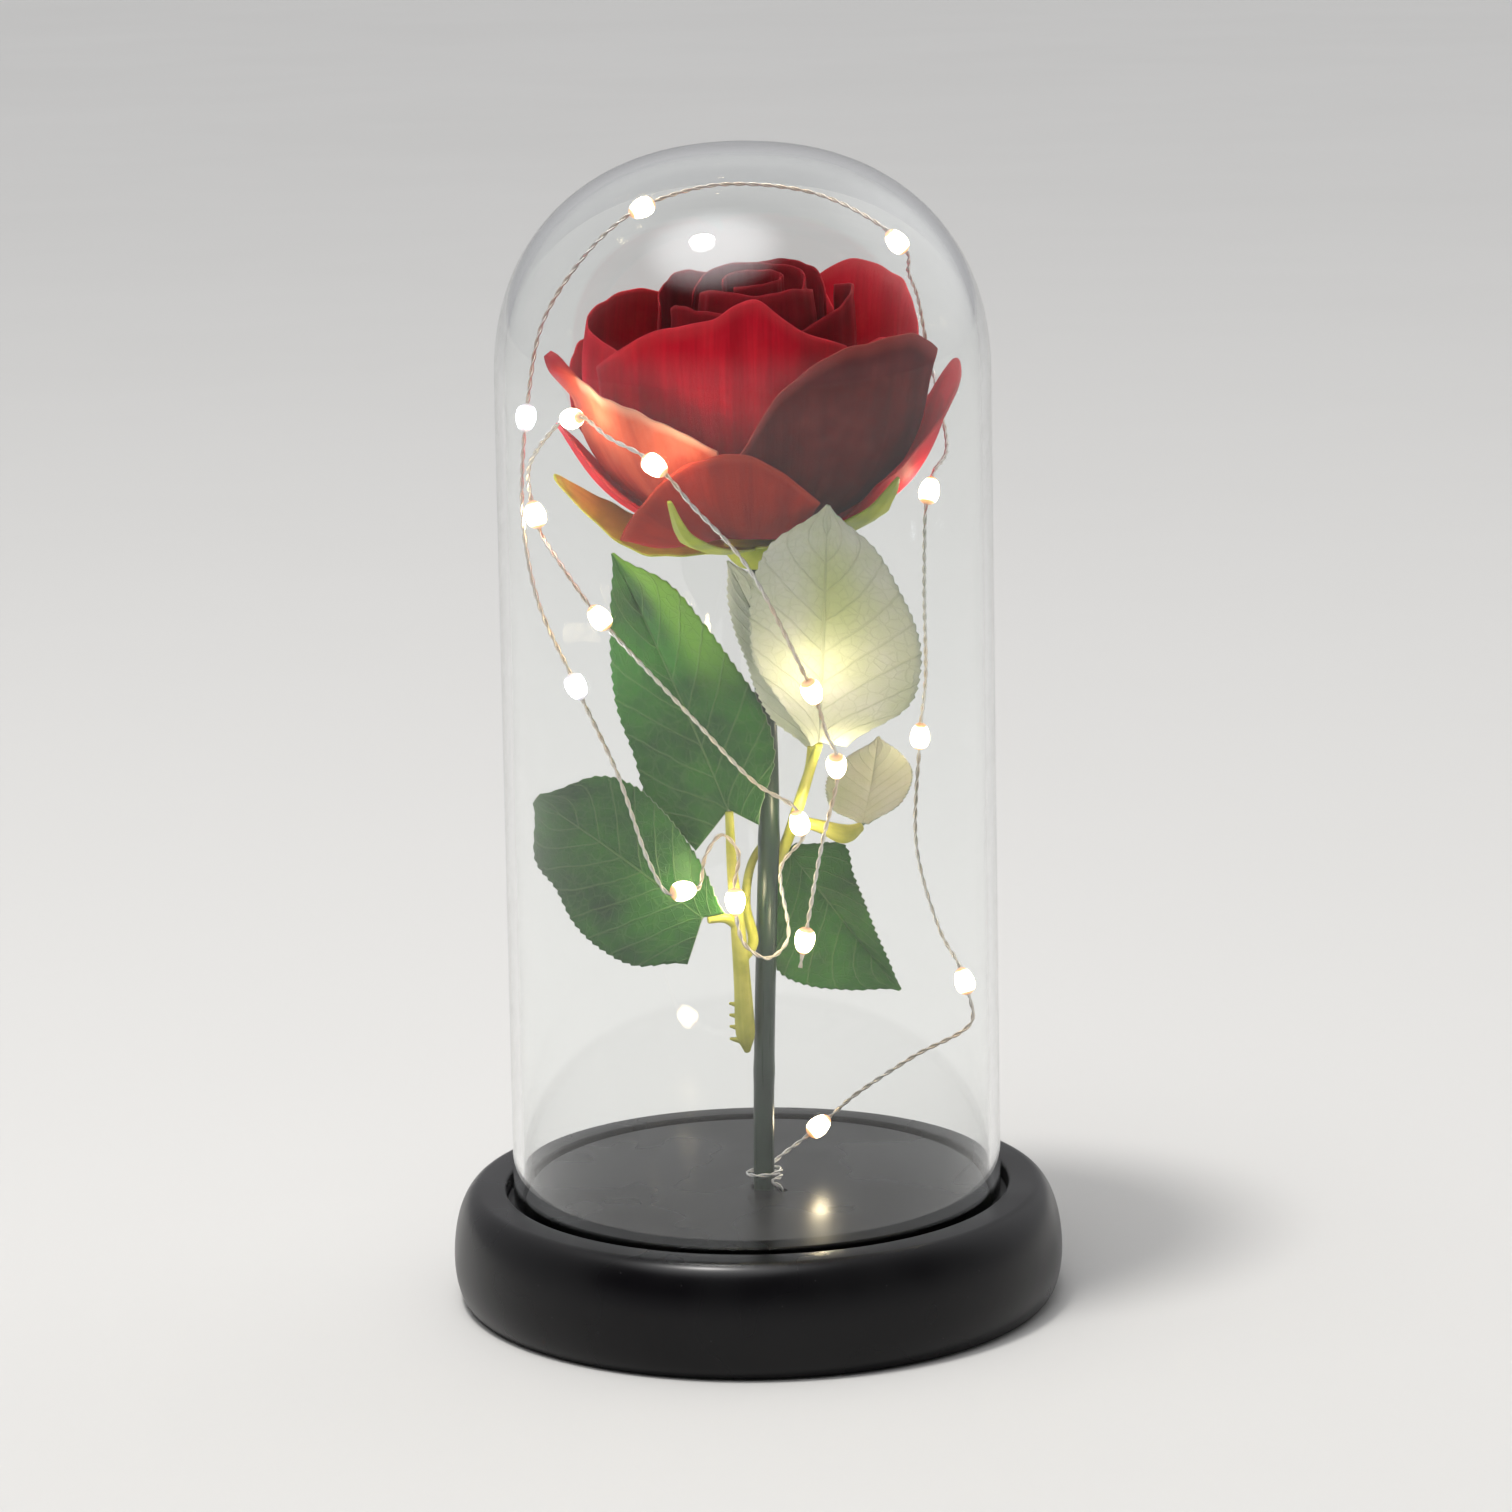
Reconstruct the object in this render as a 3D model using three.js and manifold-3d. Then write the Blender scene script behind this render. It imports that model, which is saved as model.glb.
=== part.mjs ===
// A preserved rose under a glass dome, on a round black base, with a string of small lamps.
// Millimetres, +Z up. The origin is the centre of the underside of the base.
// The front of the object faces -Y and its right side is +X.

import * as THREE from 'three';
import { mergeVertices } from 'three/addons/utils/BufferGeometryUtils.js';
import Module from 'manifold-3d';

const wasm = await Module();
wasm.setup();

// Base and foot pad
const BASE_RADIUS = 57.5;
const BASE_FOOT_RADIUS = 54.3;
const BASE_TOP_RADIUS = 52.2;
const BASE_HEIGHT = 21.4;
const BASE_WIDEST_Z = 8.4;
const GROOVE_OUTER_RADIUS = 47.4;
const GROOVE_INNER_RADIUS = 43.3;
const GROOVE_FLOOR_Z = 18.2;
const PAD_RADIUS = 48;
const PAD_THICKNESS = 1.2;
const PART_GAP = 0.3;

// Glass dome
const GLASS_FOOT_RADIUS = 46.0;
const GLASS_RADIUS = 45.6;
const GLASS_WALL = 2.0;
const GLASS_TOP_Z = 217.2;
const CAP_HEIGHT = 43.3;
const CAP_POWER = 2.24;
const CAP_STEPS = 7;

// Rose stem and the socket that it stands in
const STEM_RADIUS = 2.05;
const STEM_SOCKET_RADIUS = 2.6;
const STEM_SOCKET_FLOOR_Z = 15.4;

// Rose head, in a frame of its own above the stem
const HEAD_CENTRE = [2.0, -2.0, 146.0];
const PETAL_THICKNESS = 0.7;
const SEPAL_THICKNESS = 1.2;
const SEPAL_TIP_HALF_WIDTH = 0.3;

// Leaves
const LEAF_THICKNESS = 0.7;

// Lamp string
const WIRE_RADIUS = 0.45;
const WIRE_SIDES = 8;
const WIRE_HOLE_RADIUS = 1.1;
const WIRE_HOLE_FLOOR_Z = 13.0;
const BEAD_LENGTH = 5.4;
const BEAD_RADIUS = 1.85;
const BEAD_BORE_RADIUS = 0.95;

const ROUND_SEGMENTS = 36;
const DEGREE = Math.PI / 180;

// Materials

function finish(colour, roughness, metalness, extra = {}) {
  return new THREE.MeshStandardMaterial({ color: colour, roughness, metalness, ...extra });
}

const blackLacquer = () => finish(0x0d0c10, 0.32, 0.0);
const footRubber = () => finish(0x232324, 0.9, 0.0);
const clearGlass = () => finish(0xf4f8f8, 0.03, 0.0, { transparent: true, opacity: 0.25 });
const redVelvet = () => finish(0x9c0a1c, 0.85, 0.0);
const stemGreen = () => finish(0x1f3d24, 0.45, 0.0);
const sproutGreen = () => finish(0xa9b52f, 0.5, 0.0);
const leafGreen = () => finish(0x2e6b2a, 0.6, 0.0);
const paleLeafGreen = () => finish(0x9dac7c, 0.65, 0.0);
const silverWire = () => finish(0xb9b4a8, 0.35, 0.9);
const litResin = () => finish(0xfff1d0, 0.15, 0.0, { emissive: 0xffe2a8 });

// Solids from point grids and profiles

function solidFrom(positions, indices) {
  const geometry = new THREE.BufferGeometry();
  geometry.setAttribute('position', new THREE.Float32BufferAttribute(positions, 3));
  geometry.setIndex(indices);
  return geometry;
}

// Six times the enclosed volume: negative when the faces point inward.
function signedVolume(geometry) {
  const position = geometry.attributes.position;
  const index = geometry.index.array;
  const a = new THREE.Vector3();
  const b = new THREE.Vector3();
  const c = new THREE.Vector3();
  let sum = 0;
  for (let i = 0; i < index.length; i += 3) {
    a.fromBufferAttribute(position, index[i]);
    b.fromBufferAttribute(position, index[i + 1]);
    c.fromBufferAttribute(position, index[i + 2]);
    sum += a.dot(b.cross(c));
  }
  return sum;
}

function facingOut(geometry) {
  if (signedVolume(geometry) < 0) {
    const index = geometry.index.array;
    for (let i = 0; i < index.length; i += 3) {
      const second = index[i + 1];
      index[i + 1] = index[i + 2];
      index[i + 2] = second;
    }
  }
  geometry.computeVertexNormals();
  return geometry;
}

// Leaves only position on a geometry and joins its shared vertices.
function welded(geometry) {
  const bare = geometry.clone();
  bare.deleteAttribute('normal');
  bare.deleteAttribute('uv');
  return facingOut(mergeVertices(bare, 1e-4));
}

// A closed skin of even thickness about the surface point(i, j), with columns x rows cells.
function shellSolid(columns, rows, point, thickness) {
  const across = columns + 1;
  const grid = [];
  for (let j = 0; j <= rows; j += 1) {
    for (let i = 0; i <= columns; i += 1) {
      grid.push(point(i / columns, j / rows));
    }
  }
  const at = (i, j) => {
    const column = Math.min(Math.max(i, 0), columns);
    const row = Math.min(Math.max(j, 0), rows);
    return grid[row * across + column];
  };
  const positions = [];
  for (const side of [0.5, -0.5]) {
    for (let j = 0; j <= rows; j += 1) {
      for (let i = 0; i <= columns; i += 1) {
        const along = at(i + 1, j).clone().sub(at(i - 1, j));
        const up = at(i, j + 1).clone().sub(at(i, j - 1));
        const normal = along.cross(up).normalize();
        const p = at(i, j).clone().addScaledVector(normal, side * thickness);
        positions.push(p.x, p.y, p.z);
      }
    }
  }
  const back = across * (rows + 1);
  const indices = [];
  for (let j = 0; j < rows; j += 1) {
    for (let i = 0; i < columns; i += 1) {
      const a = j * across + i;
      const b = a + 1;
      const c = a + across;
      const d = c + 1;
      indices.push(a, b, d, a, d, c);
      indices.push(back + a, back + d, back + b, back + a, back + c, back + d);
    }
  }
  const rim = [];
  for (let i = 0; i <= columns; i += 1) rim.push(i);
  for (let j = 1; j <= rows; j += 1) rim.push(j * across + columns);
  for (let i = columns - 1; i >= 0; i -= 1) rim.push(rows * across + i);
  for (let j = rows - 1; j >= 1; j -= 1) rim.push(j * across);
  rim.forEach((from, k) => {
    const to = rim[(k + 1) % rim.length];
    indices.push(from, back + from, back + to, from, back + to, to);
  });
  return facingOut(solidFrom(positions, indices));
}

// Turns a profile of [radius, height] points about the Z axis.
function turned(profile, segments) {
  const points = profile.map(([r, z]) => new THREE.Vector2(r, z));
  const geometry = new THREE.LatheGeometry(points, segments);
  geometry.rotateX(Math.PI / 2);
  return welded(geometry);
}

function smoothPath(stations) {
  return new THREE.CatmullRomCurve3(stations.map(([x, y, z]) => new THREE.Vector3(x, y, z)));
}

// A round stalk whose radius changes along a smooth path of [x, y, z, radius] stations.
function stalk(stations, sides, steps) {
  const spine = smoothPath(stations);
  const frames = spine.computeFrenetFrames(steps, false);
  const positions = [];
  for (let j = 0; j <= steps; j += 1) {
    const t = spine.getUtoTmapping(j / steps);
    const place = t * (stations.length - 1);
    const low = Math.min(Math.floor(place), stations.length - 2);
    const radius = THREE.MathUtils.lerp(stations[low][3], stations[low + 1][3], place - low);
    const centre = spine.getPoint(t);
    for (let i = 0; i < sides; i += 1) {
      const angle = (i / sides) * 2 * Math.PI;
      const p = centre.clone();
      p.addScaledVector(frames.normals[j], radius * Math.cos(angle));
      p.addScaledVector(frames.binormals[j], radius * Math.sin(angle));
      positions.push(p.x, p.y, p.z);
    }
  }
  const indices = [];
  for (let j = 0; j < steps; j += 1) {
    for (let i = 0; i < sides; i += 1) {
      const a = j * sides + i;
      const b = j * sides + ((i + 1) % sides);
      indices.push(a, b, b + sides, a, b + sides, a + sides);
    }
  }
  const last = steps * sides;
  for (let i = 1; i < sides - 1; i += 1) {
    indices.push(0, i + 1, i);
    indices.push(last, last + i, last + i + 1);
  }
  return facingOut(solidFrom(positions, indices));
}

// Joins and cuts

function toManifold(geometry) {
  const merged = welded(geometry);
  return new wasm.Manifold(new wasm.Mesh({
    numProp: 3,
    vertProperties: new Float32Array(merged.attributes.position.array),
    triVerts: new Uint32Array(merged.index.array),
  }));
}

function fromManifold(solid) {
  const mesh = solid.getMesh();
  return facingOut(solidFrom(Array.from(mesh.vertProperties), Array.from(mesh.triVerts)));
}

function joined(geometries) {
  const solids = geometries.map(toManifold);
  return fromManifold(solids.reduce((sum, next) => sum.add(next)));
}

function cut(geometry, tools) {
  const solids = tools.map(toManifold);
  return fromManifold(solids.reduce((rest, tool) => rest.subtract(tool), toManifold(geometry)));
}

function uprightHole([x, y], radius, floor, top, sides) {
  const hole = new THREE.CylinderGeometry(radius, radius, top - floor, sides);
  hole.rotateX(Math.PI / 2);
  hole.translate(x, y, (top + floor) / 2);
  return hole;
}

// Base: a turned disc with a rounded shoulder, the ring groove for the glass and two small holes

const STEM_STATIONS = [
  [1.3, -4.0, 15.8],
  [1.4, -4.0, 32],
  [1.9, -3.8, 52],
  [2.7, -3.2, 74],
  [3.4, -2.6, 92],
  [3.1, -2.2, 116],
  [2.1, -2.0, 139.05],
];
const WIRE_HOLE = [4.6, -6.6];

// Points of a quarter ellipse from its side [radius, z] up or down to its end [radius, z].
function quarterRound([sideRadius, sideZ], [endRadius, endZ], steps) {
  const points = [];
  for (let i = 0; i <= steps; i += 1) {
    const angle = (i / steps) * 90 * DEGREE;
    points.push([
      endRadius + (sideRadius - endRadius) * Math.cos(angle),
      sideZ + (endZ - sideZ) * Math.sin(angle),
    ]);
  }
  return points;
}

function baseGeometry() {
  const widest = [BASE_RADIUS, BASE_WIDEST_Z];
  const underSide = quarterRound(widest, [BASE_FOOT_RADIUS, 0], 3);
  const shoulder = quarterRound(widest, [BASE_TOP_RADIUS, BASE_HEIGHT], 4);
  const profile = [
    [0, PAD_THICKNESS + PART_GAP],
    [PAD_RADIUS + PART_GAP, PAD_THICKNESS + PART_GAP],
    [PAD_RADIUS + PART_GAP, 0],
    ...underSide.reverse(),
    ...shoulder.slice(1),
    [GROOVE_OUTER_RADIUS, BASE_HEIGHT],
    [GROOVE_OUTER_RADIUS, GROOVE_FLOOR_Z],
    [GROOVE_INNER_RADIUS, GROOVE_FLOOR_Z],
    [GROOVE_INNER_RADIUS, BASE_HEIGHT],
    [0, BASE_HEIGHT],
  ];
  return cut(turned(profile, ROUND_SEGMENTS), [
    uprightHole(STEM_STATIONS[0], STEM_SOCKET_RADIUS, STEM_SOCKET_FLOOR_Z, BASE_HEIGHT + 1, 16),
    uprightHole(WIRE_HOLE, WIRE_HOLE_RADIUS, WIRE_HOLE_FLOOR_Z, BASE_HEIGHT + 1, 12),
  ]);
}

function padGeometry() {
  const profile = [[0, 0], [PAD_RADIUS, 0], [PAD_RADIUS, PAD_THICKNESS], [0, PAD_THICKNESS]];
  return turned(profile, ROUND_SEGMENTS);
}

// Glass: an open bell with a straight wall and a rounded cap, standing in the groove

function capProfile(radius, height, top, steps) {
  const points = [];
  for (let i = 0; i <= steps; i += 1) {
    const angle = (i / steps) * 90 * DEGREE;
    points.push([
      radius * Math.cos(angle) ** (2 / CAP_POWER),
      top - height + height * Math.sin(angle) ** (2 / CAP_POWER),
    ]);
  }
  points[steps][0] = 0;
  return points;
}

function domeGeometry() {
  const foot = GROOVE_FLOOR_Z + PART_GAP;
  const outer = capProfile(GLASS_RADIUS, CAP_HEIGHT, GLASS_TOP_Z, CAP_STEPS);
  const inner = capProfile(
    GLASS_RADIUS - GLASS_WALL,
    CAP_HEIGHT - GLASS_WALL,
    GLASS_TOP_Z - GLASS_WALL,
    CAP_STEPS,
  );
  return turned([
    ...inner.reverse(),
    [GLASS_FOOT_RADIUS - GLASS_WALL, foot],
    [GLASS_FOOT_RADIUS, foot],
    ...outer,
  ], ROUND_SEGMENTS);
}

// Rose petals. Every petal follows a family of nested bowls about the axis of the head:
// depth 0 is the widest bowl and depth 1 the tight roll in the middle.

const BOWL_STEP = 0.2;
const WIDE_BOWL = [[5, 0], [17, 2], [28, 8.5], [34.5, 18], [37, 29.5], [37.5, 41], [37.2, 50]];
const TIGHT_BOWL = [[0.9, 8], [2.2, 14], [3.4, 22], [4.2, 30], [4.4, 38], [4.0, 45], [3.8, 49]];
const profileCurve = (points) => new THREE.SplineCurve(points.map(([r, z]) => new THREE.Vector2(r, z)));
const wideBowl = profileCurve(WIDE_BOWL);
const tightBowl = profileCurve(TIGHT_BOWL);

function bowlPoint(depth, reach) {
  const t = Math.min(reach / (BOWL_STEP * (WIDE_BOWL.length - 1)), 1);
  return wideBowl.getPoint(t).lerp(tightBowl.getPoint(t), depth);
}

// The depth and reach at which the bowls pass through a given radius and height.
function bowlAddress(radius, height) {
  let low = 0.05;
  let high = BOWL_STEP * (WIDE_BOWL.length - 1);
  let depth = 0;
  for (let i = 0; i < 30; i += 1) {
    const middle = (low + high) / 2;
    const wide = bowlPoint(0, middle);
    const tight = bowlPoint(1, middle);
    depth = (wide.x - radius) / (wide.x - tight.x);
    if (THREE.MathUtils.lerp(wide.y, tight.y, depth) < height) low = middle;
    else high = middle;
  }
  return [depth, (low + high) / 2];
}

// Petals by whorl, from the outside in. A whorl has the depth at which its petals are attached
// and the rows of cells up each petal. A petal has its name, the outward roll of its lip, the
// outward belly below the lip, and the rim as stations of azimuth (degrees), radius and height.
const WHORLS = [
  {
    claw: 0,
    rows: 5,
    petals: [
      ['petal_front_low', 0.8, 0,
        [[-139, 31, 3], [-121, 31.8, 14], [-103, 33.6, 20], [-87, 33.4, 18.4], [-70, 31.5, 10.6]]],
      ['petal_left_low', 0.6, 0,
        [[-208, 30, 10], [-192, 33.8, 18], [-174, 35, 21.4], [-159, 34, 19.4], [-143, 28.5, 9.5]]],
      ['petal_right_low', 1.6, 0,
        [[-40, 31.6, 16.4], [-26, 34.2, 22.6], [-12, 35.6, 28.4], [4, 35.4, 32], [22, 33.2, 25]]],
      ['petal_back_right_low', 2, 0, [[25, 30, 14], [44, 33.4, 21.4], [66, 34.5, 23], [88, 32.6, 15]]],
      ['petal_back_left_low', 2, 0, [[91, 30, 13], [109, 33.4, 21], [128, 34.5, 22.6], [149, 32.4, 14]]],
    ],
  },
  {
    claw: 0.14,
    rows: 5,
    petals: [
      ['petal_front_left', 1.2, 0,
        [[-160, 34.8, 33.4], [-148, 33.8, 31.2], [-133, 32.8, 27.6], [-117, 31.6, 24.8],
          [-102, 30.4, 20.4]]],
      ['petal_front_right', 0.8, 0,
        [[-95, 31.2, 19.5], [-80, 30.6, 31.4], [-58, 30.6, 37.4], [-35, 31.8, 39], [-11, 32.6, 34.6]]],
      ['petal_back_right', 1, 0,
        [[-10, 28.4, 33], [12, 29, 40.6], [36, 31.2, 46.2], [58, 32.2, 47.2], [79, 31.6, 39]]],
      ['petal_back', 1.2, 0, [[75, 28.4, 36], [94, 30.6, 43.4], [112, 30.6, 44], [134, 27.8, 34]]],
      ['petal_back_left', 1, 0, [[131, 31.6, 30], [151, 32.2, 34.8], [170, 32.4, 33], [187, 32.4, 26]]],
    ],
  },
  {
    claw: 0.3,
    rows: 5,
    petals: [
      ['petal_middle_front', 0.4, 0.03,
        [[-156, 30, 33], [-127, 27.6, 40.4], [-105, 27, 42.6], [-90, 26.4, 46.6], [-74, 27, 41],
          [-52, 26, 37]]],
      ['petal_middle_left', 0, 0.05,
        [[118, 24.2, 40], [142, 25.4, 43.4], [166, 28, 42.6], [188, 30.2, 39], [207, 27.2, 35.4]]],
      ['petal_middle_right', 0.5, 0,
        [[-58, 22.8, 28], [-30, 25.6, 33], [0, 26, 34], [28, 26, 34], [50, 25.4, 29]]],
      ['petal_middle_back', 0.5, 0,
        [[47.5, 21.6, 40.6], [70, 24.6, 45.2], [96, 24.2, 45.4], [122, 21, 41.6]]],
    ],
  },
  {
    claw: 0.5,
    rows: 4,
    petals: [
      ['petal_inner_front', 0.2, 0.02,
        [[-181, 13.4, 40.6], [-148, 15.6, 43], [-112, 16, 42.6], [-66, 16.2, 39]]],
      ['petal_inner_right', 0.2, 0.02,
        [[-74, 13.4, 36], [-40, 17, 41.4], [-2, 17.8, 45.2], [33, 17.6, 44.4]]],
      ['petal_inner_back', 0.2, 0.02,
        [[26, 14.4, 43], [52, 17.2, 47.6], [80, 17.8, 48.2], [107, 17.8, 45]]],
      ['petal_inner_left', 0.2, 0.02,
        [[101, 14.2, 44], [128, 17.2, 47], [156, 17, 45.6], [185, 16.2, 42.2]]],
    ],
  },
  {
    claw: 0.74,
    rows: 4,
    petals: [
      ['petal_bud_front', 0, 0.02,
        [[-188, 8.8, 42.6], [-140, 10.4, 45.4], [-90, 10.6, 45], [-45, 10.8, 45.4], [-4, 10.8, 44.6]]],
      ['petal_bud_back', 0, 0.02,
        [[-12, 8.6, 43.6], [34, 10.6, 47.6], [82, 11, 48.4], [128, 10.8, 47.8], [170, 10.8, 44]]],
    ],
  },
  {
    claw: 0.93,
    rows: 4,
    petals: [
      ['petal_bud_roll', 0, 0,
        [[-130, 5, 45.6], [-50, 5.2, 46.4], [30, 5.4, 47.4], [110, 5.4, 47.6], [190, 5.2, 46.2]]],
    ],
  },
];
const CLAW_SHARE = 0.55;
const LIP_START = 0.74;
const LIP_DROP = 0.4;

function petalSurface(claw, [, lip, belly, rim]) {
  const rimCurve = new THREE.CatmullRomCurve3(
    rim.map(([azimuth, radius, height]) => new THREE.Vector3(azimuth, ...bowlAddress(radius, height))),
    false,
    'catmullrom',
  );
  const middle = (rim[0][0] + rim[rim.length - 1][0]) / 2;
  return (across, up) => {
    const edge = rimCurve.getPoint(across);
    const widening = THREE.MathUtils.smoothstep(up, -0.6, 0.7);
    const share = THREE.MathUtils.lerp(CLAW_SHARE, 1, widening);
    const angle = (middle + (edge.x - middle) * share) * DEGREE;
    const depth = THREE.MathUtils.lerp(claw, edge.y, THREE.MathUtils.smoothstep(up, 0.05, 0.85));
    const point = bowlPoint(depth - belly * Math.sin(Math.PI * up * up), up * edge.z);
    const roll = THREE.MathUtils.smoothstep(up, LIP_START, 1) ** 2;
    const radius = point.x + lip * roll;
    const height = point.y - lip * LIP_DROP * roll;
    return new THREE.Vector3(radius * Math.cos(angle), radius * Math.sin(angle), height);
  };
}

function petalColumns(rim) {
  const span = rim[rim.length - 1][0] - rim[0][0];
  if (span > 200) return 8;
  return span > 90 ? 6 : 5;
}

function petalGeometry({ claw, rows }, petal) {
  return shellSolid(petalColumns(petal[3]), rows, petalSurface(claw, petal), PETAL_THICKNESS);
}

// Calyx: the hip and receptacle with five sepals moulded on it

const HIP_PROFILE = [
  [0, -6.6], [2.9, -6.6], [4.9, -5.0], [6.1, -3.0], [5.6, -1.6], [3.8, -0.6], [2.4, 2.6], [0, 6.0],
];

// A sepal: azimuth, half width at the widest, rise of the edges, how far it twists towards its
// tip, and the midline as [radius, height] stations.
const SEPALS = [
  [-177, 4.8, 0, 1.2, [[4.2, -2.9], [13, -1.8], [22, 0.2], [30, 5.4], [36.8, 11.2]]],
  [-114, 2.8, 0.6, 0, [[4.6, -2.6], [14, -1.6], [24, 0.6], [32, 4.6], [37.4, 11.4]]],
  [-41, 8.4, 1.4, 0, [[4.0, -2.4], [13, -1.4], [21, 1.6], [28.4, 6.2], [33.4, 13]]],
  [38, 3.6, 1.2, 0, [[4.6, -2.6], [13, -1.4], [22, 1.2], [30, 6], [35, 11]]],
  [104, 3.6, 1.2, 0, [[4.6, -2.6], [13, -1.4], [23, 1.2], [31, 5.6], [36, 9.6]]],
];

function sepalGeometry([azimuth, halfWidth, rise, twist, midline]) {
  const curve = profileCurve(midline);
  const out = new THREE.Vector3(Math.cos(azimuth * DEGREE), Math.sin(azimuth * DEGREE), 0);
  const side = new THREE.Vector3(-out.y, out.x, 0);
  return shellSolid(2, 5, (s, t) => {
    const station = curve.getPoint(t);
    const fullness = 0.6 + 0.4 * Math.sin(Math.PI * Math.min(t * 1.2, 1));
    const width = halfWidth * fullness * (1 - t ** 3) + SEPAL_TIP_HALF_WIDTH;
    const u = s * 2 - 1;
    const point = out.clone().multiplyScalar(station.x);
    point.addScaledVector(side, u * width);
    point.z = station.y + rise * Math.abs(u) * Math.sin(Math.PI * Math.min(t + 0.1, 1));
    point.z -= twist * t * u * width;
    return point;
  }, SEPAL_THICKNESS);
}

function calyxGeometry() {
  return joined([turned(HIP_PROFILE, 8), ...SEPALS.map(sepalGeometry)]);
}

// Stem

function stemGeometry() {
  const ring = new THREE.Shape();
  ring.absarc(0, 0, STEM_RADIUS, 0, 2 * Math.PI, false);
  return welded(new THREE.ExtrudeGeometry(ring, {
    steps: 8,
    curveSegments: 5,
    bevelEnabled: false,
    extrudePath: smoothPath(STEM_STATIONS),
  }));
}

// Leaves. A leaf: name, base and tip of the midrib, the way that its shown face looks,
// how far the lobes reach back past the base, how much the blade cups, its finish,
// and the half widths of its two sides at even steps from base to tip.
const LEAVES = [
  ['leaf_left_top', [-4.1, -7.2, 95.1], [-24.4, -5, 142.9], [-0.25, -1, 0.1], 5, 2.0, leafGreen,
    [9, 13.4, 12.2, 11.2, 8.3, 4.4, 0.3], [4, 12.2, 14, 12.5, 10.3, 7.2, 0.3]],
  ['leaf_left_side', [-9.3, -9.7, 75.2], [-39.3, -7, 97.5], [-0.1, -1, 0], 3, 1.8, leafGreen,
    [9, 15, 16.2, 15, 11.6, 9.4, 1.2], [3, 7.4, 10.6, 12.5, 12.9, 10, 1.2]],
  ['leaf_right_low', [6.9, 6.2, 84], [27.4, -1, 58.4], [0.25, -1, 0.1], 0, 1.6, leafGreen,
    [2, 8.8, 6.8, 5.0, 3.2, 1.8, 0.3], [3, 9.4, 13.4, 15.8, 13, 7.2, 0.3]],
  ['leaf_right_front', [12.6, -20.5, 110.3], [14.6, -33.5, 155.8], [-0.05, -1, -0.25], 1, 2.0,
    paleLeafGreen,
    [1.4, 7, 12, 13.1, 12.8, 9.8, 0.3], [5, 15.2, 17.4, 16.5, 13, 8.3, 0.3]],
  ['leaf_right_rear', [11.2, -14.4, 108.4], [-3.2, -21.5, 143.9], [-0.4, -1, -0.1], 0, 1.2, paleLeafGreen,
    [1, 5, 5.6, 4.6, 4.2, 3.0, 0.3], [1, 8, 11, 11, 9.6, 6.4, 0.3]],
  ['leaf_right_back', [20.9, -2.6, 90.8], [24.6, 18.6, 102.6], [-0.3, -0.8, 1], 0, 1.2, paleLeafGreen,
    [1, 6, 8, 8.4, 7, 4.4, 0.3], [1, 6, 8, 8.2, 6.8, 4.2, 0.3]],
];

function widthAt(widths, t) {
  const place = t * (widths.length - 1);
  const low = Math.min(Math.floor(place), widths.length - 2);
  return THREE.MathUtils.lerp(widths[low], widths[low + 1], place - low);
}

function leafGeometry([, base, tip, face, lobe, cup, , plusWidths, minusWidths]) {
  const start = new THREE.Vector3(...base);
  const rib = new THREE.Vector3(...tip).sub(start);
  const length = rib.length();
  rib.normalize();
  const side = new THREE.Vector3(...face).cross(rib).normalize();
  const normal = rib.clone().cross(side);
  return shellSolid(4, plusWidths.length - 1, (s, t) => {
    const u = s * 2 - 1;
    const width = widthAt(u < 0 ? minusWidths : plusWidths, t);
    const point = start.clone().addScaledVector(rib, t * length - lobe * Math.abs(u) * (1 - t) ** 3);
    point.addScaledVector(side, u * width);
    return point.addScaledVector(normal, cup * (Math.abs(u) - 0.6) * Math.sin(Math.PI * t));
  }, LEAF_THICKNESS);
}

// Leaf sprigs: one moulding each, clipped beside the stem

function sprigLeftGeometry() {
  const main = stalk([
    [-1.4, -6.8, 48.4, 0.6], [-1.7, -7.2, 52, 1.8], [-2.1, -7.6, 62, 1.6],
    [-2.8, -8.0, 74, 1.35], [-3.6, -7.9, 84, 1.0], [-3.9, -7.4, 93.8, 0.85],
  ], 6, 7);
  const left = stalk([[-2.6, -8.0, 72.8, 1.0], [-5.0, -8.8, 74.6, 0.9], [-7.5, -9.5, 74.4, 0.8]], 6, 3);
  const right = stalk([
    [-1.9, -7.7, 66.4, 0.9], [0.0, -7.0, 69.4, 1.0], [-1.2, -3.4, 76, 0.9],
    [0.2, 1.4, 83, 0.8], [3.2, 5, 85.8, 0.75], [6.1, 6.1, 84.6, 0.7],
  ], 5, 7);
  const teeth = [50.8, 53.2, 55.4, 57.6].map((z) => stalk([
    [-2.2, -7.2, z, 0.7], [-4.6, -7.8, z + 0.5, 0.3],
  ], 4, 1));
  return joined([main, left, right, ...teeth]);
}

function sprigRightGeometry() {
  const main = stalk([
    [3.7, -0.1, 76, 0.6], [4.7, 0.2, 82, 1.0], [7.0, -2.2, 88.5, 1.1], [9.3, -8.4, 97, 1.1],
    [11.2, -15.4, 104.6, 0.9], [12.6, -20, 109.2, 0.75],
  ], 6, 7);
  const right = stalk([
    [8.1, -5.1, 92.4, 0.9], [13.4, -6.2, 91, 1.3], [17.4, -5, 89.4, 1.8], [20.3, -3.2, 90.1, 0.9],
  ], 6, 4);
  const rear = stalk([
    [10.2, -11.6, 100.6, 0.8], [11.0, -13.4, 105, 0.75], [11.2, -14.2, 107.8, 0.7],
  ], 6, 2);
  return joined([main, right, rear]);
}

// Lamp string: the route of the wire from the hole in the base, with a bead at each lamp.
// A station is [x, y, z], with 'lamp' where a bead sits.
const LAMP = 'lamp';
const STEM_WRAP_RADIUS = 3.2;
const BEAD_LEAD = 0.4;

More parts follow.
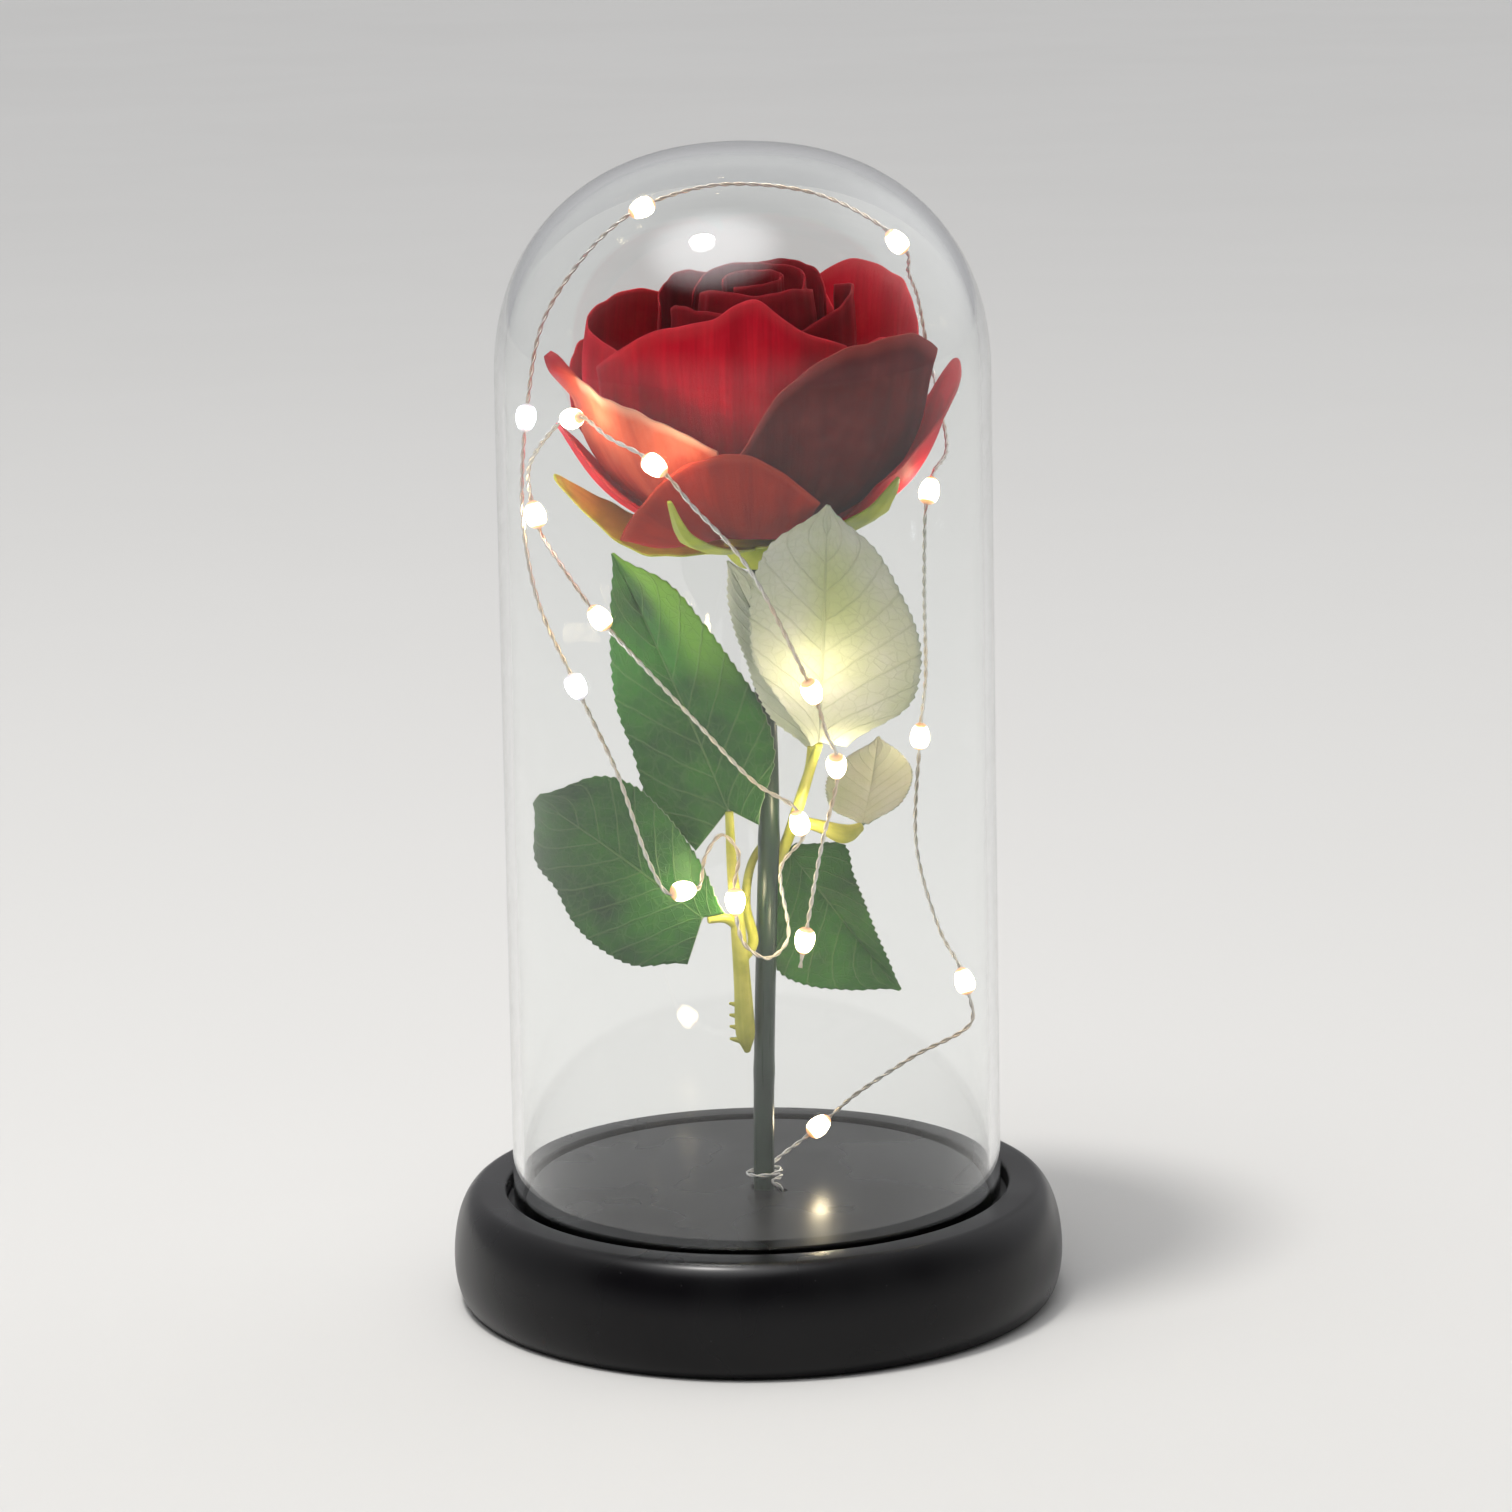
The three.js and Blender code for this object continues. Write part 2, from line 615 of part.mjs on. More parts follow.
// Turns of the wire round a standing stalk.
function wrapAround(stations, turns, startAngle, fromZ, toZ, perTurn, radius) {
  const spine = smoothPath(stations).getSpacedPoints(200);
  const count = Math.round(turns * perTurn);
  const points = [];
  for (let i = 0; i <= count; i += 1) {
    const z = THREE.MathUtils.lerp(fromZ, toZ, i / count);
    const near = spine.reduce((a, b) => (Math.abs(a.z - z) < Math.abs(b.z - z) ? a : b));
    const angle = startAngle + (i / perTurn) * 2 * Math.PI;
    points.push([near.x + radius * Math.cos(angle), near.y + radius * Math.sin(angle), z]);
  }
  return points;
}

const WIRE_ROUTE = [
  [WIRE_HOLE[0], WIRE_HOLE[1], WIRE_HOLE_FLOOR_Z + 0.6],
  [WIRE_HOLE[0], WIRE_HOLE[1], 21.6],
  ...wrapAround(STEM_STATIONS, 1.35, -0.35 * Math.PI, 23.2, 25.0, 6, STEM_WRAP_RADIUS),
  [11.9, 5, 30.5, LAMP],
  [18.5, 4, 36.5],
  [30, 1.4, 44.8],
  [40.6, -2.4, 52],
  [39.3, -4, 60.6, LAMP],
  [35.3, 2, 68.8],
  [31.2, 6.5, 84],
  [32.2, 8, 105, LAMP],
  [33.1, 4, 116],
  [32.6, -5, 136],
  [33.5, -9, 154.2, LAMP],
  [37.4, 1, 160],
  [36.8, 13, 168],
  [34.8, 18.6, 178],
  [33, 14, 187],
  [31, 8, 192.4],
  [28.7, 4, 198.4, LAMP],
  [14, 12, 207],
  [-3, 12, 209],
  [-18, 6, 205.2, LAMP],
  [-28, 4, 197.5],
  [-36.5, 2, 185],
  [-39.7, -4, 168.1, LAMP],
  [-40.4, -7.6, 151],
  [-37.5, -13.5, 135.5],
  [-31, -17, 120.5, LAMP],
  [-24, -18.5, 104.5],
  [-18.5, -18, 87.3],
  [-12.5, -16, 81.7, LAMP],
  [-8.4, -12.6, 87.5],
  [-5.4, -11, 91],
  [-2.4, -10.6, 87.5],
  [-3.1, -11.4, 78.3, LAMP],
  [-1.6, -11.8, 70.4],
  [2.6, -11, 67.4],
  [6.4, -7.8, 70],
  [5.4, -8.4, 84],
  [8.9, -12, 93.3, LAMP],
  [1.3, -13.4, 100.9],
  [-10, -14.8, 113.5],
  [-26.5, -20, 133.8, LAMP],
  [-34, -15.5, 144],
  [-38, -9, 151.1, LAMP],
  [-38.4, -13.5, 161],
  [-30.1, -24.5, 170.9, LAMP],
  [-23.6, -32.8, 168.6],
  [-15.6, -37.2, 164.1, LAMP],
  [-9.5, -39.4, 157.5],
  [-0.2, -39, 146.6],
  [11.3, -32.4, 121.8, LAMP],
  [14, -27.5, 112.5],
  [15.6, -24, 106.3, LAMP],
  [12.8, -17.6, 90],
  [9.5, -15, 71.6, LAMP],
  [8.6, -14.6, 66.4],
];

// Corners of the wire: a straight run through each bead and smooth bends between the beads.
function wireCorners() {
  const stations = WIRE_ROUTE.map((s) => new THREE.Vector3(s[0], s[1], s[2]));
  const spine = new THREE.CatmullRomCurve3(stations, false, 'centripetal');
  const corners = [];
  const lamps = [];
  const last = WIRE_ROUTE.length - 1;
  WIRE_ROUTE.forEach((station, i) => {
    if (station[3] !== LAMP) {
      corners.push(stations[i]);
      return;
    }
    const way = spine.getTangent(i / last);
    const reach = 0.5 * BEAD_LENGTH + BEAD_LEAD;
    corners.push(stations[i].clone().addScaledVector(way, -reach));
    corners.push(stations[i].clone().addScaledVector(way, reach));
    lamps.push({ centre: stations[i], way });
  });
  return { corners, lamps };
}

class CorneredPath extends THREE.Curve {
  constructor(corners) {
    super();
    this.corners = corners;
  }

  getPoint(t, target = new THREE.Vector3()) {
    const place = t * (this.corners.length - 1);
    const low = Math.min(Math.floor(place + 1e-9), this.corners.length - 2);
    return target.lerpVectors(this.corners[low], this.corners[low + 1], place - low);
  }

  getPointAt(u, target) {
    return this.getPoint(u, target);
  }

  getTangentAt(u, target = new THREE.Vector3()) {
    const last = this.corners.length - 1;
    const i = Math.round(u * last);
    const before = this.corners[i].clone().sub(this.corners[Math.max(i - 1, 0)]).normalize();
    const after = this.corners[Math.min(i + 1, last)].clone().sub(this.corners[i]).normalize();
    return target.copy(before.add(after)).normalize();
  }
}

function wireGeometry(corners) {
  const ring = new THREE.Shape();
  ring.absarc(0, 0, WIRE_RADIUS, 0, 2 * Math.PI, false);
  return welded(new THREE.ExtrudeGeometry(ring, {
    steps: corners.length - 1,
    curveSegments: WIRE_SIDES / 2,
    bevelEnabled: false,
    extrudePath: new CorneredPath(corners),
  }));
}

function beadGeometry({ centre, way }) {
  const half = BEAD_LENGTH / 2;
  const bead = turned([
    [BEAD_BORE_RADIUS, -half],
    [BEAD_RADIUS, -0.3 * half],
    [0.92 * BEAD_RADIUS, 0.4 * half],
    [BEAD_BORE_RADIUS, half],
    [BEAD_BORE_RADIUS, -half],
  ], 6);
  const turn = new THREE.Quaternion().setFromUnitVectors(new THREE.Vector3(0, 0, 1), way);
  bead.applyQuaternion(turn);
  bead.translate(centre.x, centre.y, centre.z);
  return bead;
}

// Assembly

function piece(name, geometry, material) {
  const mesh = new THREE.Mesh(geometry, material);
  mesh.name = name;
  return mesh;
}

function roseHead() {
  const head = new THREE.Group();
  head.position.set(...HEAD_CENTRE);
  head.add(piece('calyx', calyxGeometry(), sproutGreen()));
  for (const whorl of WHORLS) {
    for (const petal of whorl.petals) {
      head.add(piece(petal[0], petalGeometry(whorl, petal), redVelvet()));
    }
  }
  return head;
}

function lampString() {
  const group = new THREE.Group();
  const { corners, lamps } = wireCorners();
  group.add(piece('lamp_wire', wireGeometry(corners), silverWire()));
  lamps.forEach((lamp, i) => {
    group.add(piece(`lamp_${String(i + 1).padStart(2, '0')}`, beadGeometry(lamp), litResin()));
  });
  return group;
}

const roseDome = new THREE.Group();
roseDome.add(piece('base', baseGeometry(), blackLacquer()));
roseDome.add(piece('foot_pad', padGeometry(), footRubber()));
roseDome.add(piece('glass_dome', domeGeometry(), clearGlass()));
roseDome.add(piece('rose_stem', stemGeometry(), stemGreen()));
roseDome.add(roseHead());
roseDome.add(piece('leaf_sprig_left', sprigLeftGeometry(), sproutGreen()));
roseDome.add(piece('leaf_sprig_right', sprigRightGeometry(), sproutGreen()));
for (const leaf of LEAVES) roseDome.add(piece(leaf[0], leafGeometry(leaf), leaf[6]()));
roseDome.add(lampString());

export default roseDome;
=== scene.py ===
"""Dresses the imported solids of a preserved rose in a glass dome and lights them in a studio.

Lengths in this file are millimetres, in the frame of the solids: the origin is the centre of the
underside of the base, +Z is up and the front looks along -Y. Meshes are scaled to metres when made.
"""

import logging
import math
from dataclasses import dataclass, field
from enum import Enum
from typing import Iterable, Sequence

import bpy
import numpy as np
from mathutils import Matrix, Vector, noise


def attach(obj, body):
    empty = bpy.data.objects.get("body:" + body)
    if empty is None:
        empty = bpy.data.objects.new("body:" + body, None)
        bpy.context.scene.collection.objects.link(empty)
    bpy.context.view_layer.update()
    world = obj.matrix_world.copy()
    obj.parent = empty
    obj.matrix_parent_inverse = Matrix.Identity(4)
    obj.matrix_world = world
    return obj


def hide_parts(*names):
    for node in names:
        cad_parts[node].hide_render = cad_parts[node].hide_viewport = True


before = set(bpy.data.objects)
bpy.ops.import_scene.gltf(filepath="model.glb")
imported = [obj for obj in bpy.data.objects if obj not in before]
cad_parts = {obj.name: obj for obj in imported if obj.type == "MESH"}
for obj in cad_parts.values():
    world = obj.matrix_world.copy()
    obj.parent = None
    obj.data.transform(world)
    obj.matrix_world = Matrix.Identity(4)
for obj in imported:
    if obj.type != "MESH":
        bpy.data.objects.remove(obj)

LOG = logging.getLogger("rose_dome")
MM = 0.001
DEGREE = math.pi / 180
PICTURE_SIDE = 1512
EDGE_BULGE = 0.35

Colour = tuple[float, float, float]
Point = Sequence[float]


# Curves and profiles


def hermite(
    p1: np.ndarray, p2: np.ndarray, t1: np.ndarray, t2: np.ndarray, w: np.ndarray
) -> np.ndarray:
    """Cubic between two points with given tangents.

    Args:
        p1, p2: the end points.
        t1, t2: the tangents there.
        w: how far along, from 0 to 1.

    Returns:
        The points on the cubic.
    """
    a = 2 * p1 - 2 * p2 + t1 + t2
    b = -3 * p1 + 3 * p2 - 2 * t1 - t2
    return ((a * w + b) * w + t1) * w + p1


def spans(count: int, t: np.ndarray) -> tuple[np.ndarray, np.ndarray]:
    """Which span of a curve each t falls in, and how far along it.

    Args:
        count: how many points the curve has.
        t: places from 0 to 1.

    Returns:
        The span numbers and the shares of each span.
    """
    place = np.clip(np.asarray(t, float), 0, 1) * (count - 1)
    low = np.minimum(np.floor(place).astype(int), count - 2)
    return low, (place - low)[..., None]


def profile_curve(points: Sequence[Point], t: np.ndarray) -> np.ndarray:
    """Smooth curve through profile points whose ends are held.

    Args:
        points: the points, evenly spaced in t.
        t: places from 0 to 1.

    Returns:
        The points on the curve.
    """
    p = np.asarray(points, float)
    low, w = spans(len(p), t)
    last = len(p) - 1
    before, after = p[np.maximum(low - 1, 0)], p[np.minimum(low + 2, last)]
    return hermite(p[low], p[low + 1], (p[low + 1] - before) / 2, (after - p[low]) / 2, w)


def rim_curve(points: np.ndarray, t: np.ndarray) -> np.ndarray:
    """Smooth curve through rim stations, running straight on at both ends.

    Args:
        points: the stations.
        t: places from 0 to 1.

    Returns:
        The points on the curve.
    """
    p = np.vstack([2 * points[0] - points[1], points, 2 * points[-1] - points[-2]])
    low, w = spans(len(points), t)
    return hermite(
        p[low + 1], p[low + 2], (p[low + 2] - p[low]) / 2, (p[low + 3] - p[low + 1]) / 2, w
    )


def smooth_path(stations: Sequence[Point], t: np.ndarray) -> np.ndarray:
    """Centripetal curve through stations in space: it never overshoots at tight bends.

    Args:
        stations: [x, y, z] stations; more numbers in a station are left out.
        t: places from 0 to 1.

    Returns:
        The points on the curve.
    """
    s = np.asarray([tuple(station[:3]) for station in stations], float)
    p = np.vstack([2 * s[0] - s[1], s, 2 * s[-1] - s[-2]])
    low, w = spans(len(s), t)
    p0, p1, p2, p3 = p[low], p[low + 1], p[low + 2], p[low + 3]
    d0, d1, d2 = (
        np.maximum(np.sqrt(np.linalg.norm(b - a, axis=-1, keepdims=True)), 1e-4)
        for a, b in ((p0, p1), (p1, p2), (p2, p3))
    )
    t1 = ((p1 - p0) / d0 - (p2 - p0) / (d0 + d1) + (p2 - p1) / d1) * d1
    t2 = ((p2 - p1) / d1 - (p3 - p1) / (d1 + d2) + (p3 - p2) / d2) * d1
    return hermite(p1, p2, t1, t2, w)


def smoothstep(x: np.ndarray, low: float, high: float) -> np.ndarray:
    """0 below low, 1 above high, and a smooth ramp between."""
    w = np.clip((x - low) / (high - low), 0, 1)
    return w * w * (3 - 2 * w)


def rounded_profile(
    corners: Sequence[tuple[float, float, float]], steps: int = 4
) -> list[tuple[float, float]]:
    """Rounds the corners of a profile.

    Args:
        corners: [radius, z, fillet] corners, with fillet 0 where a corner stays as it is.
        steps: facets in each rounded corner.

    Returns:
        The profile's [radius, z] points.
    """
    points: list[tuple[float, float]] = []
    for i, (r, z, fillet) in enumerate(corners):
        if fillet == 0 or i in (0, len(corners) - 1):
            points.append((r, z))
            continue
        here = np.array((r, z))
        back = np.array(corners[i - 1][:2]) - here
        ahead = np.array(corners[i + 1][:2]) - here
        start = here + back / np.linalg.norm(back) * fillet
        end = here + ahead / np.linalg.norm(ahead) * fillet
        for k in range(steps + 1):
            w = k / steps
            points.append(tuple((1 - w) ** 2 * start + 2 * w * (1 - w) * here + w * w * end))
    return points


def quarter_round(
    side: tuple[float, float], end: tuple[float, float], steps: int
) -> list[tuple[float, float, float]]:
    """Quarter ellipse of a profile.

    Args:
        side: [radius, z] at its upright side.
        end: [radius, z] at its level end.
        steps: its facets.

    Returns:
        Corners [radius, z, 0] from side to end.
    """
    angles = [i / steps * math.pi / 2 for i in range(steps + 1)]
    return [
        (end[0] + (side[0] - end[0]) * math.cos(a), side[1] + (end[1] - side[1]) * math.sin(a), 0.0)
        for a in angles
    ]


# Meshes


@dataclass
class Surface:
    """Vertices, faces and per-vertex values of a piece under construction, in millimetres."""

    vertices: np.ndarray
    faces: list[tuple[int, ...]]
    uv: np.ndarray | None = None
    values: dict[str, np.ndarray] = field(default_factory=dict)

    def volume(self) -> float:
        """Enclosed volume, which tells the way that the faces look.

        Returns:
            Six times the volume, negative where the faces look inward.
        """
        total = 0.0
        for face in self.faces:
            for k in range(1, len(face) - 1):
                a, b, c = (self.vertices[face[i]] for i in (0, k, k + 1))
                total += float(a @ np.cross(b, c))
        return total

    def build(
        self, name: str, material: bpy.types.Material, sharp_deg: float = 180.0
    ) -> bpy.types.Object:
        """Makes the object.

        Args:
            name: its name.
            material: its material.
            sharp_deg: edges that turn more than this stay sharp.

        Returns:
            The new object, linked to the scene.
        """
        faces = self.faces if self.volume() > 0 else [face[::-1] for face in self.faces]
        mesh = bpy.data.meshes.new(name)
        mesh.from_pydata((self.vertices * MM).tolist(), [], faces)
        for key, value in self.values.items():
            mesh.attributes.new(key, "FLOAT", "POINT").data.foreach_set(
                "value", value.astype(np.float32)
            )
        if self.uv is not None:
            corners = np.empty(len(mesh.loops), int)
            mesh.loops.foreach_get("vertex_index", corners)
            mesh.uv_layers.new(name="UVMap").uv.foreach_set(
                "vector", self.uv[corners].astype(np.float32).ravel()
            )
        return finished(name, mesh, material, sharp_deg)


def finished(
    name: str, mesh: bpy.types.Mesh, material: bpy.types.Material, sharp_deg: float
) -> bpy.types.Object:
    """Shades a mesh, gives it its material and links it to the scene.

    Args:
        name: the object's name.
        mesh: its mesh.
        material: its only material.
        sharp_deg: edges that turn more than this stay sharp.

    Returns:
        The new object.
    """
    mesh.materials.clear()
    mesh.materials.append(material)
    mesh.shade_smooth()
    if sharp_deg < 180:
        mesh.set_sharp_from_angle(angle=sharp_deg * DEGREE)
    mesh.update()
    piece = bpy.data.objects.new(name, mesh)
    bpy.context.scene.collection.objects.link(piece)
    return piece


def turned(profile: Sequence[tuple[float, float]], segments: int) -> Surface:
    """Turns a profile about the Z axis.

    Args:
        profile: [radius, z] points; the first and last lie on the axis, or it closes on itself.
        segments: steps round the axis.

    Returns:
        A closed surface.
    """
    closed = profile[0][0] > 1e-6
    rings: list[list[int]] = []
    vertices: list[tuple[float, float, float]] = []
    for r, z in profile:
        count = 1 if r < 1e-6 else segments
        rings.append([len(vertices) + i for i in range(count)] * (segments if count == 1 else 1))
        for i in range(count):
            angle = 2 * math.pi * i / segments
            vertices.append((r * math.cos(angle), r * math.sin(angle), z))
    faces = []
    pairs = list(zip(rings, rings[1:])) + ([(rings[-1], rings[0])] if closed else [])
    for low, high in pairs:
        for i in range(segments):
            k = (i + 1) % segments
            quad = dict.fromkeys((low[i], low[k], high[k], high[i]))
            if len(quad) > 2:
                faces.append(tuple(quad))
    return Surface(np.array(vertices), faces)


def rim_loop(rows: int, columns: int) -> list[int]:
    """Vertex numbers round the border of a grid.

    Args:
        rows, columns: how many cells it has each way.

    Returns:
        The numbers, in order round the border.
    """
    across = columns + 1
    loop = list(range(columns + 1))
    loop += [j * across + columns for j in range(1, rows + 1)]
    loop += [rows * across + i for i in range(columns - 1, -1, -1)]
    return loop + [j * across for j in range(rows - 1, 0, -1)]


def shell(grid: np.ndarray, thickness: np.ndarray) -> Surface:
    """Closed skin of a sheet-like piece with a rounded edge.

    Args:
        grid: the middle surface, rows x columns x 3.
        thickness: the thickness at each grid point.

    Returns:
        The skin. Its UV map is (column share, row share), and its value "plus" is 1 on the side
        that columns x rows looks to.
    """
    rows, columns = grid.shape[0] - 1, grid.shape[1] - 1
    along = np.gradient(grid, axis=1)
    up = np.gradient(grid, axis=0)
    normal = np.cross(along, up)
    normal /= np.maximum(np.linalg.norm(normal, axis=-1, keepdims=True), 1e-9)
    half = thickness[..., None] / 2
    front = (grid + normal * half).reshape(-1, 3)
    back = (grid - normal * half).reshape(-1, 3)
    loop = rim_loop(rows, columns)
    flat = grid.reshape(-1, 3)
    border = flat[loop]
    tangent = np.roll(border, -1, axis=0) - np.roll(border, 1, axis=0)
    outward = np.cross(tangent, normal.reshape(-1, 3)[loop])
    outward /= np.maximum(np.linalg.norm(outward, axis=-1, keepdims=True), 1e-9)
    edge = border + outward * thickness.reshape(-1)[loop][:, None] * EDGE_BULGE
    count = len(flat)
    across = columns + 1
    faces: list[tuple[int, ...]] = []
    for j in range(rows):
        for i in range(columns):
            a = j * across + i
            quad = (a, a + 1, a + across + 1, a + across)
            faces.append(quad)
            faces.append(tuple(count + k for k in reversed(quad)))
    for k, start in enumerate(loop):
        n = (k + 1) % len(loop)
        end = loop[n]
        rim_a, rim_b = 2 * count + k, 2 * count + n
        faces.append((start, rim_a, rim_b, end))
        faces.append((rim_a, count + start, count + end, rim_b))
    v, u = np.meshgrid(np.linspace(0, 1, rows + 1), np.linspace(0, 1, columns + 1), indexing="ij")
    uv = np.stack([u, v], axis=-1).reshape(-1, 2)
    plus = np.concatenate([np.ones(count), np.zeros(count), np.full(len(loop), 0.5)])
    return Surface(
        np.vstack([front, back, edge]), faces, np.vstack([uv, uv, uv[loop]]), {"plus": plus}
    )


def tube(path: np.ndarray, radii: np.ndarray, sides: int) -> Surface:
    """Round tube along a path, its ends slightly chamfered and closed.

    Args:
        path: the centre points.
        radii: the radius at each.
        sides: how many sides.

    Returns:
        A closed surface. Its UV map is (share round, share along).
    """
    chamfer = 0.25
    tangents = np.gradient(path, axis=0)
    tangents /= np.linalg.norm(tangents, axis=1, keepdims=True)
    inner = path[1:-1]
    path = np.vstack([path[0], path[0] + tangents[0] * chamfer * radii[0], inner,
                      path[-1] - tangents[-1] * chamfer * radii[-1], path[-1]])
    radii = np.concatenate([[radii[0] * (1 - chamfer)], [radii[0]], radii[1:-1], [radii[-1]],
                            [radii[-1] * (1 - chamfer)]])
    tangents = np.gradient(path, axis=0)
    tangents /= np.linalg.norm(tangents, axis=1, keepdims=True)
    side = Vector(tangents[0]).orthogonal().normalized()
    rows = []
    for centre, tangent, radius in zip(path, tangents, radii):
        way = Vector(tangent)
        side = (side - way * side.dot(way)).normalized()
        other = way.cross(side)
        for i in range(sides):
            angle = 2 * math.pi * i / sides
            rows.append(
                Vector(centre) + (side * math.cos(angle) + other * math.sin(angle)) * radius
            )
    faces: list[tuple[int, ...]] = []
    for j in range(len(path) - 1):
        for i in range(sides):
            a, b = j * sides + i, j * sides + (i + 1) % sides
            faces.append((a, b, b + sides, a + sides))
    faces.append(tuple(range(sides))[::-1])
    faces.append(tuple(range(len(rows) - sides, len(rows))))
    share = np.array(
        [(i / sides, j / (len(path) - 1)) for j in range(len(path)) for i in range(sides)]
    )
    return Surface(np.array([tuple(row) for row in rows]), faces, share)


class Join(Enum):
    """How solids are combined."""

    UNION = "UNION"
    CUT = "DIFFERENCE"


def combined(name: str, parts: Sequence[Surface], how: Join, material: bpy.types.Material,
             sharp_deg: float = 180.0) -> bpy.types.Object:
    """Joins solids into one closed piece, or cuts the later ones from the first.

    Args:
        name: the piece's name.
        parts: the solids.
        how: join or cut.
        material: the piece's material.
        sharp_deg: edges that turn more than this stay sharp.

    Returns:
        The piece.
    """
    objects = [part.build(f"{name}_part_{i}", material) for i, part in enumerate(parts)]
    first = objects[0]
    for other in objects[1:]:
        modifier = first.modifiers.new("join", "BOOLEAN")
        modifier.operation = how.value
        modifier.solver = "EXACT"
        modifier.object = other
    mesh = evaluated_mesh(first, name)
    for thing in objects:
        bpy.data.objects.remove(thing)
    return finished(name, mesh, material, sharp_deg)


def evaluated_mesh(thing: bpy.types.Object, name: str) -> bpy.types.Mesh:
    """Turns an object with modifiers into a plain mesh.

    Args:
        thing: the object.
        name: the mesh's name.

    Returns:
        The mesh with all modifiers in it.
    """
    bpy.context.view_layer.update()
    evaluated = thing.evaluated_get(bpy.context.evaluated_depsgraph_get())
    mesh = bpy.data.meshes.new_from_object(evaluated)
    mesh.name = name
    return mesh


def placed(piece: bpy.types.Object, slot: str, *nodes: str) -> None:
    """Puts a finished piece under the root body and hides the solids that it stands for.

    Args:
        piece: the piece.
        slot: the record's material slot that it takes its finish from; not used.
        *nodes: the solids that it stands for.
    """
    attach(piece, "root")
    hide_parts(*nodes)
    LOG.info("%s: %d faces, stands for %s", piece.name, len(piece.data.polygons), ", ".join(nodes))


# Node trees


class TreeWriter:
    """Writes nodes into a shader or geometry node tree."""

    def __init__(self, tree: bpy.types.NodeTree) -> None:
        """Starts on a tree."""
        self.tree = tree

    def add(self, kind: str, inputs: dict | None = None, **settings: object) -> bpy.types.Node:
        """Adds a node.

        Args:
            kind: its type name.
            inputs: socket name or number to a value, or to an output socket to link from.
            **settings: its properties.

        Returns:
            The node.
        """
        node = self.tree.nodes.new(kind)
        for key, value in settings.items():
            setattr(node, key, value)
        for key, value in (inputs or {}).items():
            if isinstance(value, bpy.types.NodeSocket):
                self.tree.links.new(value, node.inputs[key])
            else:
                node.inputs[key].default_value = value
        return node

    def math(self, operation: str, *values: object, clamp: bool = False) -> bpy.types.NodeSocket:
        """Adds a math node and returns its output."""
        node = self.add(
            "ShaderNodeMath", dict(enumerate(values)), operation=operation, use_clamp=clamp
        )
        return node.outputs[0]

    def band(self, value: bpy.types.NodeSocket, low: float, high: float,
             start: object = 0.0, end: object = 1.0) -> bpy.types.NodeSocket:
        """Maps low..high smoothly to start..end, which may be sockets."""
        node = self.add(
            "ShaderNodeMapRange",
            {"Value": value, "From Min": low, "From Max": high, "To Min": start, "To Max": end},
            interpolation_type="SMOOTHSTEP",
        )
        return node.outputs[0]


class Shader(TreeWriter):
    """A material under construction."""

    def __init__(self, name: str, values: dict[str, object]) -> None:
        """Starts a material.

        Args:
            name: its name.
            values: the surface shader's own socket values.
        """
        self.material = bpy.data.materials.new(name)
        self.material.use_nodes = True
        super().__init__(self.material.node_tree)
        self.surface = self.tree.nodes["Principled BSDF"]
        for key, value in values.items():
            self.surface.inputs[key].default_value = value

    def place(self, scale: Point = (1, 1, 1), uv: bool = False) -> bpy.types.NodeSocket:
        """Object or UV coordinates, stretched.

        Args:
            scale: how much each axis is stretched.
            uv: True for the piece's UV map.

        Returns:
            The coordinates.
        """
        where = self.add("ShaderNodeTexCoord").outputs["UV" if uv else "Object"]
        return self.add("ShaderNodeMapping", {"Vector": where, "Scale": tuple(scale)}).outputs[0]

    def noise(self, where: bpy.types.NodeSocket, scale: float, detail: float = 3.0,
              rough: float = 0.55) -> bpy.types.NodeSocket:
        """Cloudy noise from 0 to 1 at the given coordinates."""
        node = self.add(
            "ShaderNodeTexNoise",
            {"Vector": where, "Scale": scale, "Detail": detail, "Roughness": rough}
        )
        return node.outputs["Fac"]

    def ramp(
        self, factor: bpy.types.NodeSocket, stops: Iterable[tuple[float, Colour]]
    ) -> bpy.types.NodeSocket:
        """Colours along a factor.

        Args:
            factor: the factor.
            stops: (position, colour) from low to high.

        Returns:
            The colour.
        """
        node = self.add("ShaderNodeValToRGB", {"Fac": factor})
        elements = node.color_ramp.elements
        for i, (position, colour) in enumerate(stops):
            element = elements[i] if i < 2 else elements.new(position)
            element.position = position
            element.color = (*colour, 1.0)
        return node.outputs["Color"]

    def mix(self, factor: object, a: object, b: object, blend: str = "MIX") -> bpy.types.NodeSocket:
        """Mixes two colours.

        Args:
            factor: share of b.
            a, b: colours, or sockets with colours.
            blend: how they mix.

        Returns:
            The mixed colour.
        """
        colours = {6: a if isinstance(a, bpy.types.NodeSocket) else (*a, 1.0),
                   7: b if isinstance(b, bpy.types.NodeSocket) else (*b, 1.0)}
        node = self.add("ShaderNodeMix", {0: factor, **colours}, data_type="RGBA", blend_type=blend)
        return node.outputs[2]

    def value(self, name: str) -> bpy.types.NodeSocket:
        """The piece's own per-vertex value."""
        return self.add("ShaderNodeAttribute", attribute_name=name).outputs["Fac"]

    def connect(self, **links: bpy.types.NodeSocket) -> None:
        """Links sockets of the surface shader, with underscores for spaces in their names."""
        for key, socket in links.items():
            self.tree.links.new(socket, self.surface.inputs[key.replace("_", " ")])

    def relief(
        self, height: bpy.types.NodeSocket, distance_mm: float, strength: float = 1.0
    ) -> None:
        """Bump from a height.

        Args:
            height: the height, 0 to 1.
            distance_mm: what 1 stands for.
            strength: its strength.
        """
        node = self.add(
            "ShaderNodeBump", {"Height": height, "Distance": distance_mm * MM, "Strength": strength}
        )
        self.connect(Normal=node.outputs[0])


# Finishes


